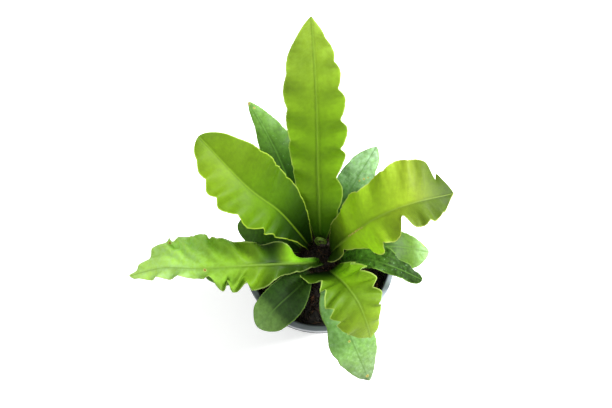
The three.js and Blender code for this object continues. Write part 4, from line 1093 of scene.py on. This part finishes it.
def makeCrozier():
    s = np.linspace(0, 1, crozier["rings"])
    path = np.array([crozierPath(x) for x in s])
    forward = unit(np.gradient(path, axis=0))
    plane = np.array([0.3, 0.95, 0])
    side = unit(plane - forward * (forward @ plane)[:, None])
    up = np.cross(forward, side)
    narrower, straight = crozier["tipRadius"] - crozier["stalkRadius"], crozier["straight"]
    radius = crozier["stalkRadius"] + narrower * np.clip(s - straight, 0, 1) / (1 - straight)
    radius = radius * np.sqrt(np.clip(1 - np.clip((s - 0.97) / 0.03, 0, 1) ** 2, 0.02, 1))
    turn = np.linspace(0, 2 * math.pi, crozier["sides"], endpoint=False)
    shape = 1 - 0.16 * np.cos(2 * turn) ** 2 + 0.05 * np.sin(3 * turn + 1)
    ring = side[:, None] * (np.cos(turn) * shape)[None, :, None]
    ring = ring + up[:, None] * (np.sin(turn) * shape)[None, :, None]
    points = (path[:, None] + ring * radius[:, None, None]).reshape(-1, 3)
    faces = gridFaces(len(s), len(turn), wrap=True)
    last = (len(s) - 1) * len(turn)
    faces.append(list(range(len(turn)))[::-1])
    faces.append(list(range(last, last + len(turn))))
    shader = {"Specular IOR Level": 0.45, "Sheen Weight": 0.04}
    look = crumbledLook("youngFrond", crozier, 0.8, 650.0, 0.6, shader, 0.08)
    addPiece("youngCoil", points, faces, look, "crozier", "frond_young", bitKind=np.zeros(len(points)))
    draw = np.random.default_rng(crozier["seed"])
    i = draw.integers(8, len(s) - 4, crozier["scales"])
    j = draw.integers(0, len(turn), crozier["scales"])
    outward = unit(ring)[i, j]
    roots = path[i] + ring[i, j] * radius[i][:, None] * 0.97
    lean = forward[i] + outward * draw.uniform(0.1, 0.6, (len(i), 1))
    lean = unit(lean + draw.normal(size=(len(i), 3)) * 0.3)
    outward = unit(outward - lean * np.sum(outward * lean, 1)[:, None])
    points, faces = scales(draw, roots, lean, outward, (0.8, 1.9), (0.22, 0.45))
    kinds = np.repeat(draw.uniform(0.2, 1, len(i)), scalePoints)
    addPiece("youngCoilScales", points, faces, crownLook, "crozier", "crown_scales", bitKind=kinds)


makeCrozier()
print("crozier made")


# Floor, light and camera

studio = {
    "floor": (0.93, 0.935, 0.94, 1), "floorReach": 20.0, "floorGlow": 0.34, "world": (1.0, 1.0, 1.0, 1),
    "worldStrength": 0.82,
    "keyPlace": (1.18, 0.43, 1.32), "keySize": 0.9, "keyPower": 66.0, "aim": (0, 0, 0.12),
    "fillPlace": (-0.9, -0.7, 1.3), "fillSize": 1.4, "fillPower": 2.0,
}
photoCamera = {"place": (-0.012, -0.209, 0.871), "tilt": 19.0, "lens": 50.0, "sensor": 36.0}


def makeStudio():
    mesh = bpy.data.meshes.new("paleFloor")
    far = studio["floorReach"]
    mesh.from_pydata([(-far, -far, 0), (far, -far, 0), (far, far, 0), (-far, far, 0)], [], [(0, 1, 2, 3)])
    paper = bpy.data.objects.new("paleFloor", mesh)
    bpy.context.scene.collection.objects.link(paper)
    material = bpy.data.materials.new("palePaper")
    material.use_nodes = True
    shader = material.node_tree.nodes["Principled BSDF"]
    shader.inputs["Base Color"].default_value = studio["floor"]
    shader.inputs["Roughness"].default_value = 0.9
    shader.inputs["Emission Color"].default_value = studio["world"]
    shader.inputs["Emission Strength"].default_value = studio["floorGlow"]
    mesh.materials.append(material)
    world = bpy.data.worlds.new("whiteRoom")
    world.use_nodes = True
    world.node_tree.nodes["Background"].inputs[0].default_value = studio["world"]
    world.node_tree.nodes["Background"].inputs[1].default_value = studio["worldStrength"]
    bpy.context.scene.world = world
    for name in ("key", "fill"):
        light = bpy.data.lights.new(name + "Light", "AREA")
        light.shape, light.size, light.energy = "DISK", studio[name + "Size"], studio[name + "Power"]
        lamp = bpy.data.objects.new(name + "Light", light)
        lamp.location = studio[name + "Place"]
        aim = Vector(studio["aim"]) - lamp.location
        lamp.rotation_euler = aim.to_track_quat("-Z", "Y").to_euler()
        bpy.context.scene.collection.objects.link(lamp)


def makeCamera():
    data = bpy.data.cameras.new("photoCamera")
    data.lens, data.sensor_width, data.clip_start = photoCamera["lens"], photoCamera["sensor"], 0.02
    camera = bpy.data.objects.new("photoCamera", data)
    camera.location = photoCamera["place"]
    camera.rotation_euler = (math.radians(photoCamera["tilt"]), 0, 0)
    bpy.context.scene.collection.objects.link(camera)
    bpy.context.scene.camera = camera


makeStudio()
makeCamera()
bpy.context.scene.view_settings.view_transform = "Standard"
print("studio set")
